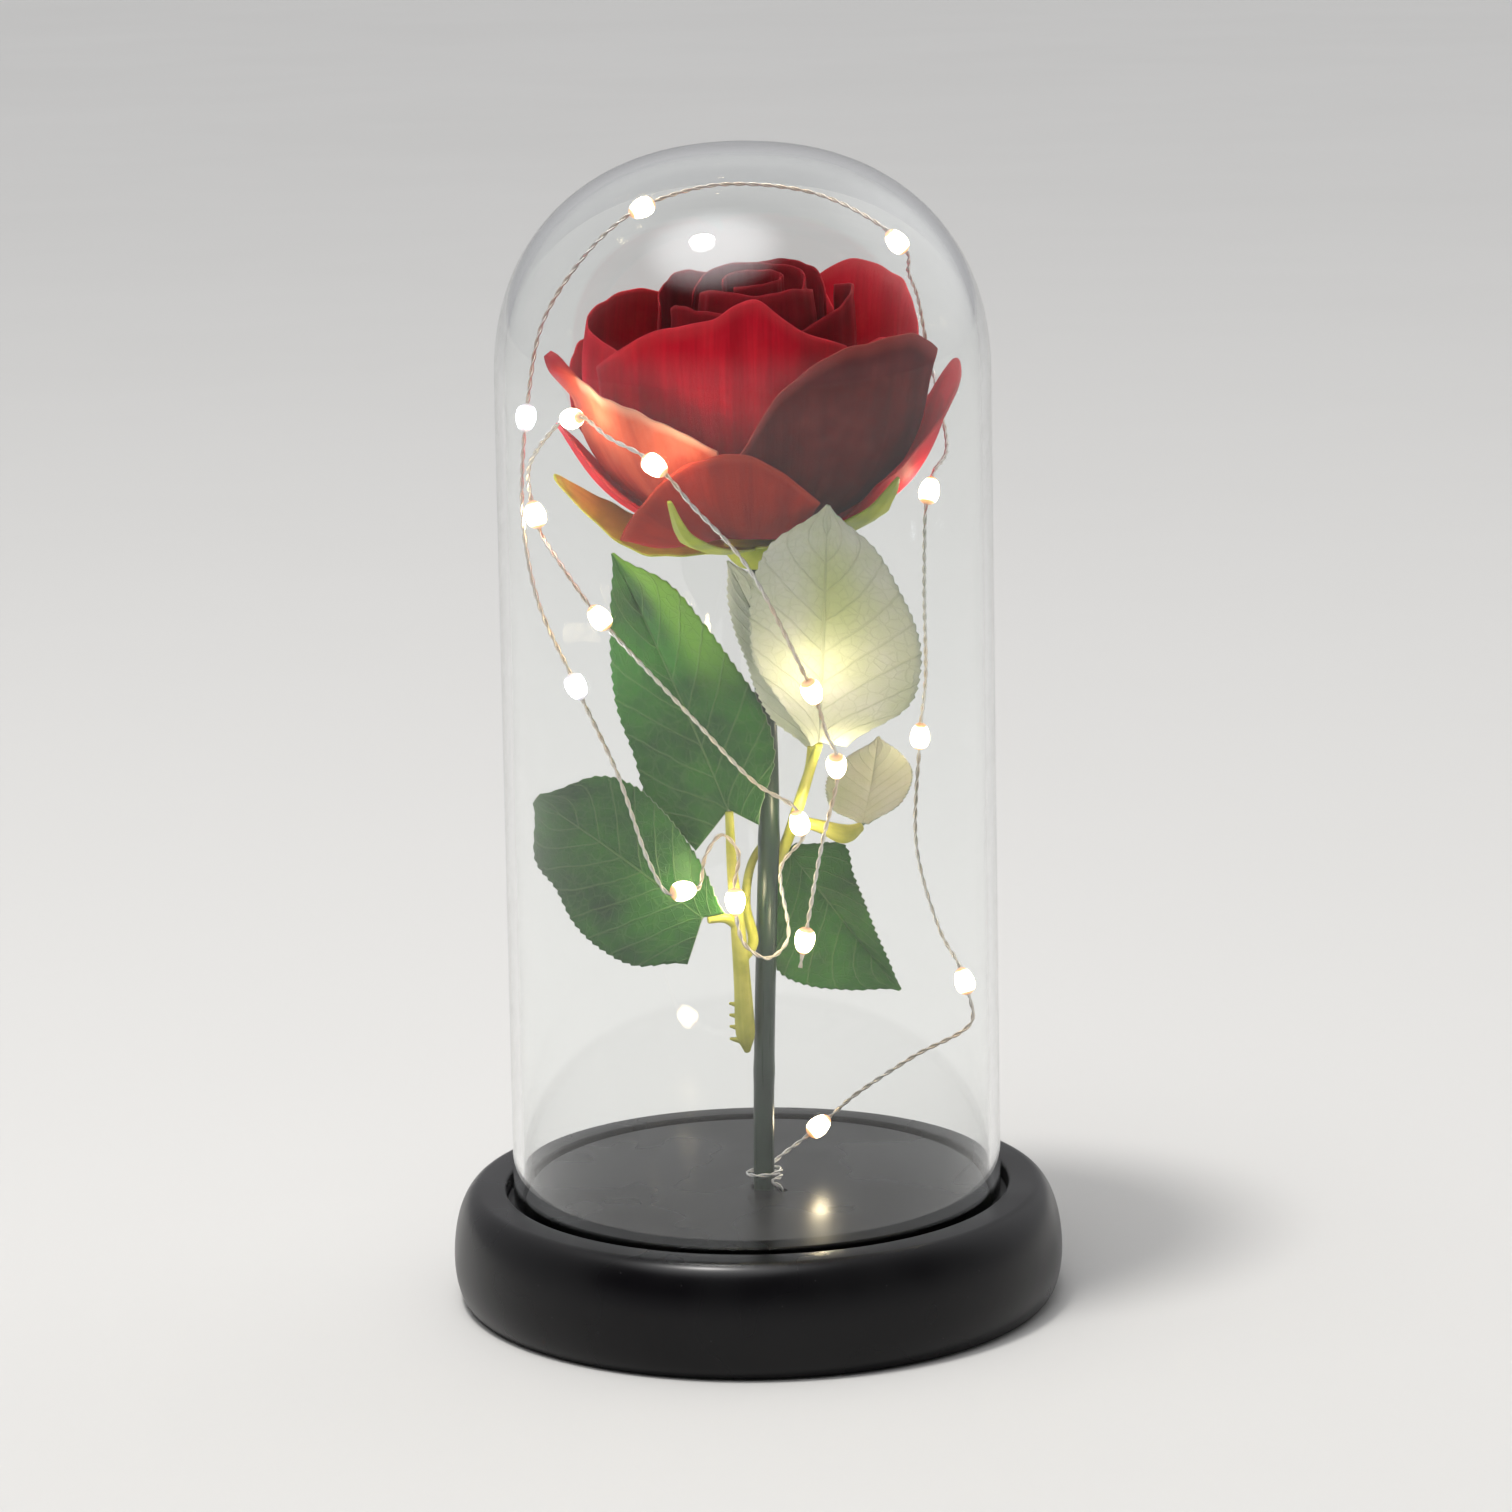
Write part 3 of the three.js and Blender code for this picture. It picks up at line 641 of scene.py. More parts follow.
@dataclass(frozen=True)
class Lacquer:
    """Black satin lacquer, clouded by dust, with a few pale specks."""

    name: str = "black_lacquer"
    colour: Colour = (0.0025, 0.0022, 0.003)
    dust: Colour = (0.007, 0.0068, 0.0075)
    speck: Colour = (0.10, 0.10, 0.10)
    roughness: float = 0.27

    def build(self) -> bpy.types.Material:
        """Makes the material.

        Returns:
            The material.
        """
        shader = Shader(self.name, {"Specular IOR Level": 0.24})
        where = shader.place()
        cloud = shader.noise(where, 38, 2)
        cells = shader.add("ShaderNodeTexVoronoi", {"Vector": where, "Scale": 420.0})
        specks = cells.outputs["Distance"]
        clouded = shader.ramp(cloud, [(0.35, self.colour), (0.75, self.dust)])
        shader.connect(
            Base_Color=shader.mix(shader.band(specks, 0.0, 0.07, 0.5, 0.0), clouded, self.speck),
            Roughness=shader.band(cloud, 0.3, 0.7, self.roughness - 0.04, self.roughness + 0.07),
        )
        return shader.material


@dataclass(frozen=True)
class SoftFoot:
    """Dark matt rubber of the foot pad."""

    name: str = "foot_rubber"
    colour: Colour = (0.018, 0.018, 0.019)
    worn: Colour = (0.035, 0.034, 0.034)

    def build(self) -> bpy.types.Material:
        """Makes the material.

        Returns:
            The material.
        """
        shader = Shader(self.name, {"Specular IOR Level": 0.3})
        where = shader.place()
        grain = shader.noise(where, 1400, 2)
        shader.connect(
            Base_Color=shader.ramp(
                shader.noise(where, 120), [(0.3, self.colour), (0.8, self.worn)]
            ),
            Roughness=shader.band(grain, 0.3, 0.7, 0.75, 0.95),
        )
        shader.relief(grain, 0.05)
        return shader.material


@dataclass(frozen=True)
class ClearGlass:
    """Clear blown glass, a little smeared by handling."""

    name: str = "clear_glass"
    tint: Colour = (0.985, 0.995, 0.99)

    def build(self) -> bpy.types.Material:
        """Makes the material.

        Returns:
            The material.
        """
        shader = Shader(self.name, {
            "Base Color": (*self.tint, 1.0),
            "Transmission Weight": 1.0,
            "IOR": 1.47,
        })
        smear = shader.noise(shader.place((1, 1, 0.5)), 22, 4, 0.6)
        shader.connect(Roughness=shader.band(smear, 0.55, 0.8, 0.0, 0.03))
        return shader.material


@dataclass(frozen=True)
class Velvet:
    """Velvety petal: deep red in, duller red out, fine streaks, painted fold shade and rim
    highlight.
    """

    name: str
    inner: Colour = (0.62, 0.003, 0.024)
    outer: Colour = (0.74, 0.004, 0.026)
    # darker red of the fine nap streaks, also used as painted shade in the fold bands
    shade: Colour = (0.16, 0.0006, 0.006)
    # lighter red, used for random mottling and for the painted highlight along the rim
    rim: Colour = (0.74, 0.06, 0.075)
    rim_highlight_share: float = 0.45
    sheen: Colour = (1.0, 0.12, 0.16)

    def build(self) -> bpy.types.Material:
        """Makes the material.

        Returns:
            The material.
        """
        shader = Shader(self.name, {
            "Sheen Weight": 0.16,
            "Sheen Roughness": 0.35,
            "Sheen Tint": (*self.sheen, 1.0),
            "Specular IOR Level": 0.06,
        })
        streaks = shader.noise(shader.place((64, 3.2, 1), uv=True), 1.0, 5, 0.6)
        folds = shader.noise(shader.place((9, 1.1, 1), uv=True), 1.0, 2)
        cloud = shader.noise(shader.place(), 190, 4)
        nap = shader.noise(shader.place(), 2600, 2)
        side = shader.mix(shader.value("plus"), self.inner, self.outer)
        # painted shade: broad bands up the petal are darkened, standing in for the shade in its
        # folds
        deep = shader.mix(shader.band(folds, 0.36, 0.64, 0.34, 0.0), side, self.shade)
        lined = shader.mix(shader.band(streaks, 0.32, 0.66, 0.20, 0.0), deep, self.shade)
        mottled = shader.mix(shader.band(cloud, 0.4, 0.75, 0.0, 0.16), lined, self.rim)
        # painted highlight: the top edge of the petal is lightened towards the rim colour, where
        # the rolled lip catches the light
        rim = shader.math("MULTIPLY", shader.band(shader.value("rim"), 0.93, 1.0), self.rim_highlight_share)
        shader.connect(
            Base_Color=shader.mix(rim, mottled, self.rim),
            Roughness=shader.band(cloud, 0.3, 0.7, 0.56, 0.76),
        )
        height = shader.math(
            "ADD", shader.math("MULTIPLY", streaks, 0.7), shader.math("MULTIPLY", nap, 0.3)
        )
        shader.relief(height, 0.12, 0.5)
        return shader.material


@dataclass(frozen=True)
class StemPlastic:
    """Dark green stem with long fine ridges."""

    name: str = "stem_green"
    colour: Colour = (0.013, 0.040, 0.020)
    light: Colour = (0.035, 0.085, 0.040)

    def build(self) -> bpy.types.Material:
        """Makes the material.

        Returns:
            The material.
        """
        shader = Shader(
            self.name, {"Specular IOR Level": 0.5, "Coat Weight": 0.2, "Coat Roughness": 0.2}
        )
        ridges = shader.noise(shader.place((26, 5, 1), uv=True), 1.0, 4)
        cloud = shader.noise(shader.place(), 60, 3)
        lined = shader.ramp(ridges, [(0.3, self.colour), (0.75, self.light)])
        shader.connect(
            Base_Color=shader.mix(shader.band(cloud, 0.3, 0.7), lined, self.colour),
            Roughness=shader.band(ridges, 0.3, 0.7, 0.26, 0.42),
        )
        shader.relief(ridges, 0.12, 0.6)
        return shader.material


@dataclass(frozen=True)
class Sprout:
    """Yellow-green of the sepals and leaf stalks, greener in patches."""

    name: str = "sprout_green"
    yellow: Colour = (0.80, 0.86, 0.11)
    green: Colour = (0.46, 0.58, 0.050)
    grain: float = 30.0

    def build(self) -> bpy.types.Material:
        """Makes the material.

        Returns:
            The material.
        """
        shader = Shader(self.name, {"Specular IOR Level": 0.4})
        where = shader.place()
        cloud = shader.noise(where, 110, 4)
        streaks = shader.noise(shader.place((self.grain, 3, 1), uv=True), 1.0, 3)
        shade = shader.mix(shader.band(streaks, 0.35, 0.7, 0.4, 0.0), self.yellow, self.green)
        shader.connect(
            Base_Color=shader.mix(shader.band(cloud, 0.35, 0.65), self.green, shade),
            Roughness=shader.band(cloud, 0.3, 0.7, 0.38, 0.58),
        )
        shader.relief(streaks, 0.10, 0.5)
        return shader.material


class LeafSide(Enum):
    """Which side of a leaf is on the plus side of its mesh."""

    UPPER = "upper"
    UNDER = "under"


@dataclass(frozen=True)
class LeafSkin:
    """Veined leaf: dark and satin above, pale and matt below, some with a painted highlight on one
    edge.
    """

    name: str
    plus_side: LeafSide
    dark: Colour = (0.012, 0.075, 0.010)
    bright: Colour = (0.045, 0.24, 0.016)
    pale: Colour = (0.78, 0.85, 0.58)
    palest: Colour = (0.94, 0.96, 0.85)
    # colour of the painted highlight along one edge of the upper face
    painted_highlight_green: Colour = (0.23, 0.55, 0.045)
    fresh_green: Colour = (0.62, 0.74, 0.22)
    vein_above: Colour = (0.22, 0.36, 0.13)
    vein_below: Colour = (0.48, 0.56, 0.30)
    # strength of that painted highlight; 0 leaves none
    painted_lit_edge: float = 0.0
    patch: float = 0.0
    vein_count: float = 8.0
    vein_slope: float = 0.30

    def veins(self, shader: Shader) -> tuple[bpy.types.NodeSocket, ...]:
        """The vein pattern from the UV map.

        Args:
            shader: the material under construction.

        Returns:
            The place across the blade (-1 to 1), the place along it, and the vein mask.
        """
        split = shader.add("ShaderNodeSeparateXYZ", {0: shader.place(uv=True)})
        across = shader.math("MULTIPLY_ADD", split.outputs[0], 2.0, -1.0)
        along = split.outputs[1]
        off = shader.math("ABSOLUTE", across)
        wander = shader.math("MULTIPLY", shader.noise(shader.place((5, 5, 1), uv=True), 1.0), 0.03)
        lean = shader.math(
            "SUBTRACT", shader.math("ADD", along, wander),
            shader.math("MULTIPLY", off, self.vein_slope)
        )
        near = shader.math("PINGPONG", shader.math("MULTIPLY", lean, self.vein_count), 0.5)
        side_veins = shader.band(near, 0.0, 0.07, 0.75, 0.0)
        midrib = shader.band(off, 0.015, 0.05, 1.0, 0.0)
        cells = shader.add(
            "ShaderNodeTexVoronoi", {"Vector": shader.place((15, 24, 1), uv=True), "Scale": 1.0},
            feature="DISTANCE_TO_EDGE",
        )
        net = shader.band(cells.outputs["Distance"], 0.0, 0.09, 0.30, 0.0)
        mask = shader.math("MAXIMUM", shader.math("MAXIMUM", side_veins, midrib), net)
        return across, along, mask

    def build(self) -> bpy.types.Material:
        """Makes the material.

        Returns:
            The material.
        """
        shader = Shader(self.name, {"Specular IOR Level": 0.42})
        across, along, veins = self.veins(shader)
        cloud = shader.noise(shader.place(), 95, 5)
        upper = shader.ramp(cloud, [(0.3, self.dark), (0.72, self.bright)])
        # painted highlight: the upper face is lightened along one side, from about halfway up to
        # the tip
        edge = shader.math(
            "MULTIPLY", shader.band(across, -0.2, -0.7), shader.band(along, 0.35, 0.6)
        )
        glow = shader.math("MULTIPLY", edge, self.painted_lit_edge)
        upper = shader.mix(glow, upper, self.painted_highlight_green)
        upper = shader.mix(shader.math("MULTIPLY", veins, 0.45), upper, self.vein_above)
        under = shader.ramp(cloud, [(0.28, self.pale), (0.7, self.palest)])
        near_rib = shader.band(
            shader.math("ABSOLUTE", shader.math("ADD", across, 0.15)), 0.05, 0.75, 1.0, 0.0
        )
        middle = shader.math(
            "MULTIPLY", shader.band(along, 0.2, 0.6, 0.0, self.patch),
            shader.band(along, 0.62, 0.95, 1.0, 0.0)
        )
        fresh = shader.math("MULTIPLY", near_rib, middle)
        under = shader.mix(fresh, under, self.fresh_green)
        under = shader.mix(shader.math("MULTIPLY", veins, 0.3), under, self.vein_below)
        plus = shader.value("plus")
        first, second = (under, upper) if self.plus_side is LeafSide.UPPER else (upper, under)
        shader.connect(
            Base_Color=shader.mix(plus, first, second),
            Roughness=shader.band(cloud, 0.3, 0.7, 0.42, 0.62),
        )
        shader.relief(veins, 0.25, 0.7)
        return shader.material


@dataclass(frozen=True)
class SilverWire:
    """Fine bright wire, silvery with warm coppery stretches."""

    name: str = "silver_wire"
    silver: Colour = (0.95, 0.94, 0.91)
    warm: Colour = (0.90, 0.76, 0.60)

    def build(self) -> bpy.types.Material:
        """Makes the material.

        Returns:
            The material.
        """
        shader = Shader(self.name, {"Metallic": 1.0})
        where = shader.place()
        stretch = shader.noise(where, 55, 2)
        fine = shader.noise(where, 1500, 2)
        shader.connect(
            Base_Color=shader.ramp(stretch, [(0.42, self.silver), (0.66, self.warm)]),
            Roughness=shader.band(fine, 0.3, 0.7, 0.32, 0.50),
        )
        return shader.material


class Glow(Enum):
    """Colour of a lamp's light."""

    WARM = (1.0, 0.84, 0.55)
    COOL = (0.86, 0.90, 1.0)


@dataclass(frozen=True)
class LitResin:
    """Resin drop lit from inside: it glows in its middle and is dim at its ends."""

    glow: Glow
    warm_dim: Colour = (0.055, 0.023, 0.006)
    cool_dim: Colour = (0.023, 0.023, 0.030)
    resin: Colour = (0.75, 0.70, 0.60)
    strength: float = 28.0

    def build(self) -> bpy.types.Material:
        """Makes the material.

        Returns:
            The material.
        """
        shader = Shader(f"lit_resin_{self.glow.name.lower()}", {
            "Base Color": (*self.resin, 1.0),
            "Emission Strength": self.strength,
            "Coat Weight": 0.5,
            "Coat Roughness": 0.05,
        })
        cloud = shader.noise(shader.place(), 700, 3)
        core = shader.math("ADD", shader.value("core"), shader.math("MULTIPLY", cloud, 0.1))
        dim = self.warm_dim if self.glow is Glow.WARM else self.cool_dim
        dimmest = tuple(0.3 * c for c in dim)
        stops = [(0.12, dimmest), (0.45, dim), (0.85, self.glow.value)]
        shader.connect(
            Emission_Color=shader.ramp(core, stops),
            Roughness=shader.band(cloud, 0.3, 0.7, 0.08, 0.22),
        )
        shader.relief(cloud, 0.15, 0.5)
        return shader.material


@dataclass(frozen=True)
class PaleFloor:
    """Plain pale studio paper, the same tone everywhere."""

    name: str = "pale_paper"
    colour: Colour = (0.62, 0.615, 0.60)

    def build(self) -> bpy.types.Material:
        """Makes the material.

        Returns:
            The material.
        """
        shader = Shader(self.name, {"Specular IOR Level": 0.2})
        where = shader.place()
        cloud = shader.noise(where, 3, 3)
        pale = shader.ramp(cloud, [(0.3, self.colour), (0.7, tuple(0.97 * c for c in self.colour))])
        shader.connect(Base_Color=pale, Roughness=shader.band(cloud, 0.3, 0.7, 0.6, 0.75))
        return shader.material


# Camera and studio


@dataclass(frozen=True)
class PhotoCamera:
    """The camera at the photograph's place, in front of the object and looking a little down."""

    distance_mm: float = 1000.0
    height_mm: float = 315.249
    pitch: float = 0.2089
    yaw: float = 0.0012
    roll: float = -0.0179
    focal_px: float = 5497.1253
    sensor_mm: float = 36.0

    def build(self) -> None:
        """Makes the camera and gives it to the scene."""
        level = math.cos(self.pitch)
        ahead = Vector((
            math.sin(self.yaw) * level, math.cos(self.yaw) * level, -math.sin(self.pitch)
        ))
        right = ahead.cross(Vector((0, 0, 1))).normalized()
        up = right.cross(ahead)
        turned_right = right * math.cos(self.roll) + up * math.sin(self.roll)
        turned_up = up * math.cos(self.roll) - right * math.sin(self.roll)
        data = bpy.data.cameras.new("photo_camera")
        data.sensor_width = self.sensor_mm
        data.lens = self.sensor_mm * self.focal_px / PICTURE_SIDE
        data.clip_start = 0.05
        data.clip_end = 100
        camera = bpy.data.objects.new("photo_camera", data)
        turn = Matrix((turned_right, turned_up, -ahead)).transposed().to_4x4()
        place = Vector((0, -self.distance_mm, self.height_mm)) * MM
        camera.matrix_world = Matrix.Translation(place) @ turn
        bpy.context.scene.collection.objects.link(camera)
        bpy.context.scene.camera = camera


@dataclass(frozen=True)
class Softbox:
    """A soft round lamp that looks at the middle of the object; its lengths are in metres."""

    name: str
    place: Point
    side: float
    power: float
    colour: Colour = (1.0, 1.0, 1.0)
    target: Point = (0, 0, 0.1)

    def build(self) -> None:
        """Makes the lamp."""
        data = bpy.data.lights.new(self.name, "AREA")
        data.shape = "DISK"
        data.size = self.side
        data.energy = self.power
        data.color = self.colour
        lamp = bpy.data.objects.new(self.name, data)
        aim = Vector(self.target) - Vector(self.place)
        turn = aim.to_track_quat("-Z", "Y").to_matrix().to_4x4()
        lamp.matrix_world = Matrix.Translation(self.place) @ turn
        bpy.context.scene.collection.objects.link(lamp)


@dataclass(frozen=True)
class Studio:
    """Pale floor, a soft lamp and a pale room.

    The room is brightest overhead. In front it fades from the horizon share to the front share, so
    that the glass stays clear over the flower, and each lobe (way, edge, strength) is a large soft
    light. The floor's side is in metres.
    """

    floor_side: float = 40.0
    softboxes: tuple[Softbox, ...] = (
        Softbox("top_softbox", (-0.35, -0.30, 1.6), 0.24, 15.0, (1.0, 0.98, 0.95)),
    )
    room_low: Colour = (0.30, 0.30, 0.31)
    room_side: Colour = (0.42, 0.42, 0.43)
    room_high: Colour = (0.72, 0.72, 0.73)
    front_share: float = 0.12
    horizon_share: float = 1.15
    lobes: tuple[tuple[Point, float, float], ...] = (
        ((-0.18, -0.26, 0.95), 0.87, 5.5),
        ((0.75, 0.50, 0.45), 0.80, 0.8),
    )

    def build(self) -> None:
        """Makes floor, lamps and room light."""
        half = self.floor_side / 2 / MM
        corners = np.array(
            [(-half, -half, 0), (half, -half, 0), (half, half, 0), (-half, half, 0)], float
        )
        mesh = bpy.data.meshes.new("studio_floor")
        mesh.from_pydata((corners * MM).tolist(), [], [(0, 1, 2, 3)])
        finished("studio_floor", mesh, PaleFloor().build(), 180)
        for softbox in self.softboxes:
            softbox.build()
        world = bpy.data.worlds.new("studio_room")
        world.use_nodes = True
        writer = TreeWriter(world.node_tree)
        way = writer.add("ShaderNodeTexCoord").outputs["Generated"]
        split = writer.add("ShaderNodeSeparateXYZ", {0: way}).outputs
        ramp = writer.add(
            "ShaderNodeValToRGB", {"Fac": writer.math("MULTIPLY_ADD", split[2], 0.5, 0.5)}
        )
        ramp.color_ramp.elements[0].color = (*self.room_low, 1)
        ramp.color_ramp.elements[1].color = (*self.room_high, 1)
        ramp.color_ramp.elements.new(0.5).color = (*self.room_side, 1)
        front = writer.band(split[2], 0.0, 0.3, self.horizon_share, self.front_share)
        strength = writer.band(split[1], -0.5, 0.4, front)
        for aim, edge, power in self.lobes:
            near = writer.add(
                "ShaderNodeVectorMath", {0: way, 1: tuple(Vector(aim).normalized())},
                operation="DOT_PRODUCT"
            )
            lobe = writer.band(near.outputs["Value"], edge, 1.0, 0.0, power)
            strength = writer.math("ADD", strength, lobe)
        background = world.node_tree.nodes["Background"]
        world.node_tree.links.new(ramp.outputs[0], background.inputs["Color"])
        world.node_tree.links.new(strength, background.inputs["Strength"])
        bpy.context.scene.world = world


# Lamp string


class GeometryTree(TreeWriter):
    """A geometry node tree with named size inputs, run once on one carrier object."""

    def __init__(self, name: str, sizes: dict[str, float]) -> None:
        """Starts a tree.

        Args:
            name: its name.
            sizes: input name to its value, in millimetres.
        """
        super().__init__(bpy.data.node_groups.new(name, "GeometryNodeTree"))
        self.sizes = sizes
        sockets = self.tree.interface
        sockets.new_socket("Geometry", in_out="INPUT", socket_type="NodeSocketGeometry")
        for key in sizes:
            sockets.new_socket(key, in_out="INPUT", socket_type="NodeSocketFloat")
        sockets.new_socket("Material", in_out="INPUT", socket_type="NodeSocketMaterial")
        sockets.new_socket("Geometry", in_out="OUTPUT", socket_type="NodeSocketGeometry")
        self.given = self.add("NodeGroupInput").outputs

    def end(self, geometry: bpy.types.NodeSocket) -> None:
        """Realizes, sets the material and ends the tree.

        Args:
            geometry: what the tree has made.
        """
        real = self.add("GeometryNodeRealizeInstances", {0: geometry})
        smooth = self.add("GeometryNodeSetShadeSmooth", {0: real.outputs[0]})
        dressed = self.add(
            "GeometryNodeSetMaterial",
            {"Geometry": smooth.outputs[0], "Material": self.given["Material"]}
        )
        self.add("NodeGroupOutput", {0: dressed.outputs[0]})

    def made(
        self, carrier: bpy.types.Object, name: str, material: bpy.types.Material
    ) -> bpy.types.Object:
        """Runs the tree on a carrier and turns the result into a plain mesh piece.

        Args:
            carrier: the object that the tree works on; it is removed.
            name: the new piece's name.
            material: its material.

        Returns:
            The piece.
        """
        modifier = carrier.modifiers.new(name, "NODES")
        modifier.node_group = self.tree
        for item in self.tree.interface.items_tree:
            if item.in_out == "INPUT" and item.name in self.sizes:
                modifier[item.identifier] = self.sizes[item.name] * MM
            elif item.in_out == "INPUT" and item.name == "Material":
                modifier[item.identifier] = material
        mesh = evaluated_mesh(carrier, name)
        bpy.data.objects.remove(carrier)
        return finished(name, mesh, material, 180)


def twisted_pair_tree(
    strand_radius: float, offset: float, pitch: float, step: float
) -> GeometryTree:
    """Two strands twisted round each other along a line of edges.

    Args:
        strand_radius: radius of one strand.
        offset: distance of each strand's middle from the line.
        pitch: length of one full twist.
        step: length of one ring.

    Returns:
        The tree.
    """
    tree = GeometryTree(
        "twisted_pair",
        {"Strand Radius": strand_radius, "Offset": offset, "Pitch": pitch, "Step": step}
    )
    line = tree.add("GeometryNodeMeshToCurve", {0: tree.given["Geometry"]})
    even = tree.add(
        "GeometryNodeResampleCurve", {"Curve": line.outputs[0], "Length": tree.given["Step"]},
        mode="LENGTH"
    )
    along = tree.add("GeometryNodeSplineParameter").outputs["Length"]
    turns = tree.math("DIVIDE", along, tree.given["Pitch"])
    tilt = tree.math("MULTIPLY", turns, 2 * math.pi)
    twisted = tree.add("GeometryNodeSetCurveTilt", {"Curve": even.outputs[0], "Tilt": tilt})
    strands = tree.add("GeometryNodeJoinGeometry")
    for sign in (1.0, -1.0):
        ring = tree.add(
            "GeometryNodeCurvePrimitiveCircle",
            {"Resolution": 7, "Radius": tree.given["Strand Radius"]}
        )
        shift = tree.add(
            "ShaderNodeCombineXYZ", {0: tree.math("MULTIPLY", tree.given["Offset"], sign)}
        )
        moved = tree.add(
            "GeometryNodeTransform", {"Geometry": ring.outputs[0], "Translation": shift.outputs[0]}
        )
        tree.tree.links.new(moved.outputs[0], strands.inputs[0])
    swept = tree.add("GeometryNodeCurveToMesh", {
        "Curve": twisted.outputs[0],
        "Profile Curve": strands.outputs[0],
        "Fill Caps": True,
    })
    tree.end(swept.outputs[0])
    return tree


def resin_drop_tree(length: float, radius: float) -> GeometryTree:
    """A drop on every point, turned along the point's "way".

    Args:
        length: length of a drop.
        radius: its largest radius.

    Returns:
        The tree.
    """
    tree = GeometryTree("resin_drops", {"Length": length, "Radius": radius})
    ball = tree.add("GeometryNodeMeshUVSphere", {"Segments": 20, "Rings": 14, "Radius": 1.0})
    place = tree.add("ShaderNodeSeparateXYZ", {0: tree.add("GeometryNodeInputPosition").outputs[0]})
    taper = tree.math("MULTIPLY_ADD", place.outputs[2], -0.16, 1.0)
    wide = tree.math("MULTIPLY", taper, tree.given["Radius"])
    half = tree.math("MULTIPLY", tree.given["Length"], 0.5)
    shaped = tree.add("ShaderNodeCombineXYZ", {
        0: tree.math("MULTIPLY", place.outputs[0], wide),
        1: tree.math("MULTIPLY", place.outputs[1], wide),
        2: tree.math("MULTIPLY", place.outputs[2], half),
    })
    core = tree.math("SUBTRACT", 1.0, tree.math("MULTIPLY", place.outputs[2], place.outputs[2]))
    marked = tree.add(
        "GeometryNodeStoreNamedAttribute",
        {"Geometry": ball.outputs[0], "Name": "core", "Value": core},
        data_type="FLOAT", domain="POINT",
    )
    drop = tree.add(
        "GeometryNodeSetPosition", {"Geometry": marked.outputs[0], "Position": shaped.outputs[0]}
    )
    way = tree.add("GeometryNodeInputNamedAttribute", {"Name": "way"}, data_type="FLOAT_VECTOR")
    turn = tree.add(
        "FunctionNodeAlignRotationToVector", {"Vector": way.outputs["Attribute"]}, axis="Z"
    )
    spread = tree.add("GeometryNodeInstanceOnPoints", {
        "Points": tree.given["Geometry"],
        "Instance": drop.outputs[0],
        "Rotation": turn.outputs[0],
    })
    tree.end(spread.outputs[0])
    return tree


LAMP = "lamp"
WIRE_HOLE = (4.6, -6.6)
WIRE_HOLE_FLOOR_Z = 13.0
WIRE_ROUTE: tuple[tuple, ...] = (
    (11.9, 5, 30.5, LAMP), (18.5, 4, 36.5), (30, 1.4, 44.8), (40.6, -2.4, 52),
    (39.3, -4, 60.6, LAMP), (35.3, 2, 68.8), (31.2, 6.5, 84), (32.2, 8, 105, LAMP), (33.1, 4, 116),
    (32.6, -5, 136), (33.5, -9, 154.2, LAMP), (37.4, 1, 160), (36.8, 13, 168), (34.8, 18.6, 178),
    (33, 14, 187), (31, 8, 192.4), (28.7, 4, 198.4, LAMP), (14, 12, 207), (-3, 12, 209),
    (-18, 6, 205.2, LAMP), (-28, 4, 197.5), (-36.5, 2, 185), (-39.7, -4, 168.1, LAMP),
    (-40.4, -7.6, 151), (-37.5, -13.5, 135.5), (-31, -17, 120.5, LAMP), (-24, -18.5, 104.5),
    (-18.5, -18, 87.3), (-12.5, -16, 81.7, LAMP), (-8.4, -12.6, 87.5), (-5.4, -11, 91),
    (-2.4, -10.6, 87.5), (-3.1, -11.4, 78.3, LAMP), (-1.6, -11.8, 70.4), (2.6, -11, 67.4),
    (6.4, -7.8, 70), (5.4, -8.4, 84), (8.9, -12, 93.3, LAMP), (1.3, -13.4, 100.9),
    (-10, -14.8, 113.5), (-26.5, -20, 133.8, LAMP), (-34, -15.5, 144), (-38, -9, 151.1, LAMP),
    (-38.4, -13.5, 161), (-30.1, -24.5, 170.9, LAMP), (-23.6, -32.8, 168.6),
    (-15.6, -37.2, 164.1, LAMP), (-9.5, -39.4, 157.5), (-0.2, -39, 146.6),
    (11.3, -32.4, 121.8, LAMP), (14, -27.5, 112.5), (15.6, -24, 106.3, LAMP), (12.8, -17.6, 90),
    (9.5, -15, 71.6, LAMP), (8.6, -14.6, 66.4),
)
STEM_STATIONS: tuple[Point, ...] = (
    (1.3, -4.0, 15.8), (1.4, -4.0, 32), (1.9, -3.8, 52), (2.7, -3.2, 74), (3.4, -2.6, 92),
    (3.1, -2.2, 116), (2.1, -2.0, 139.05),
)


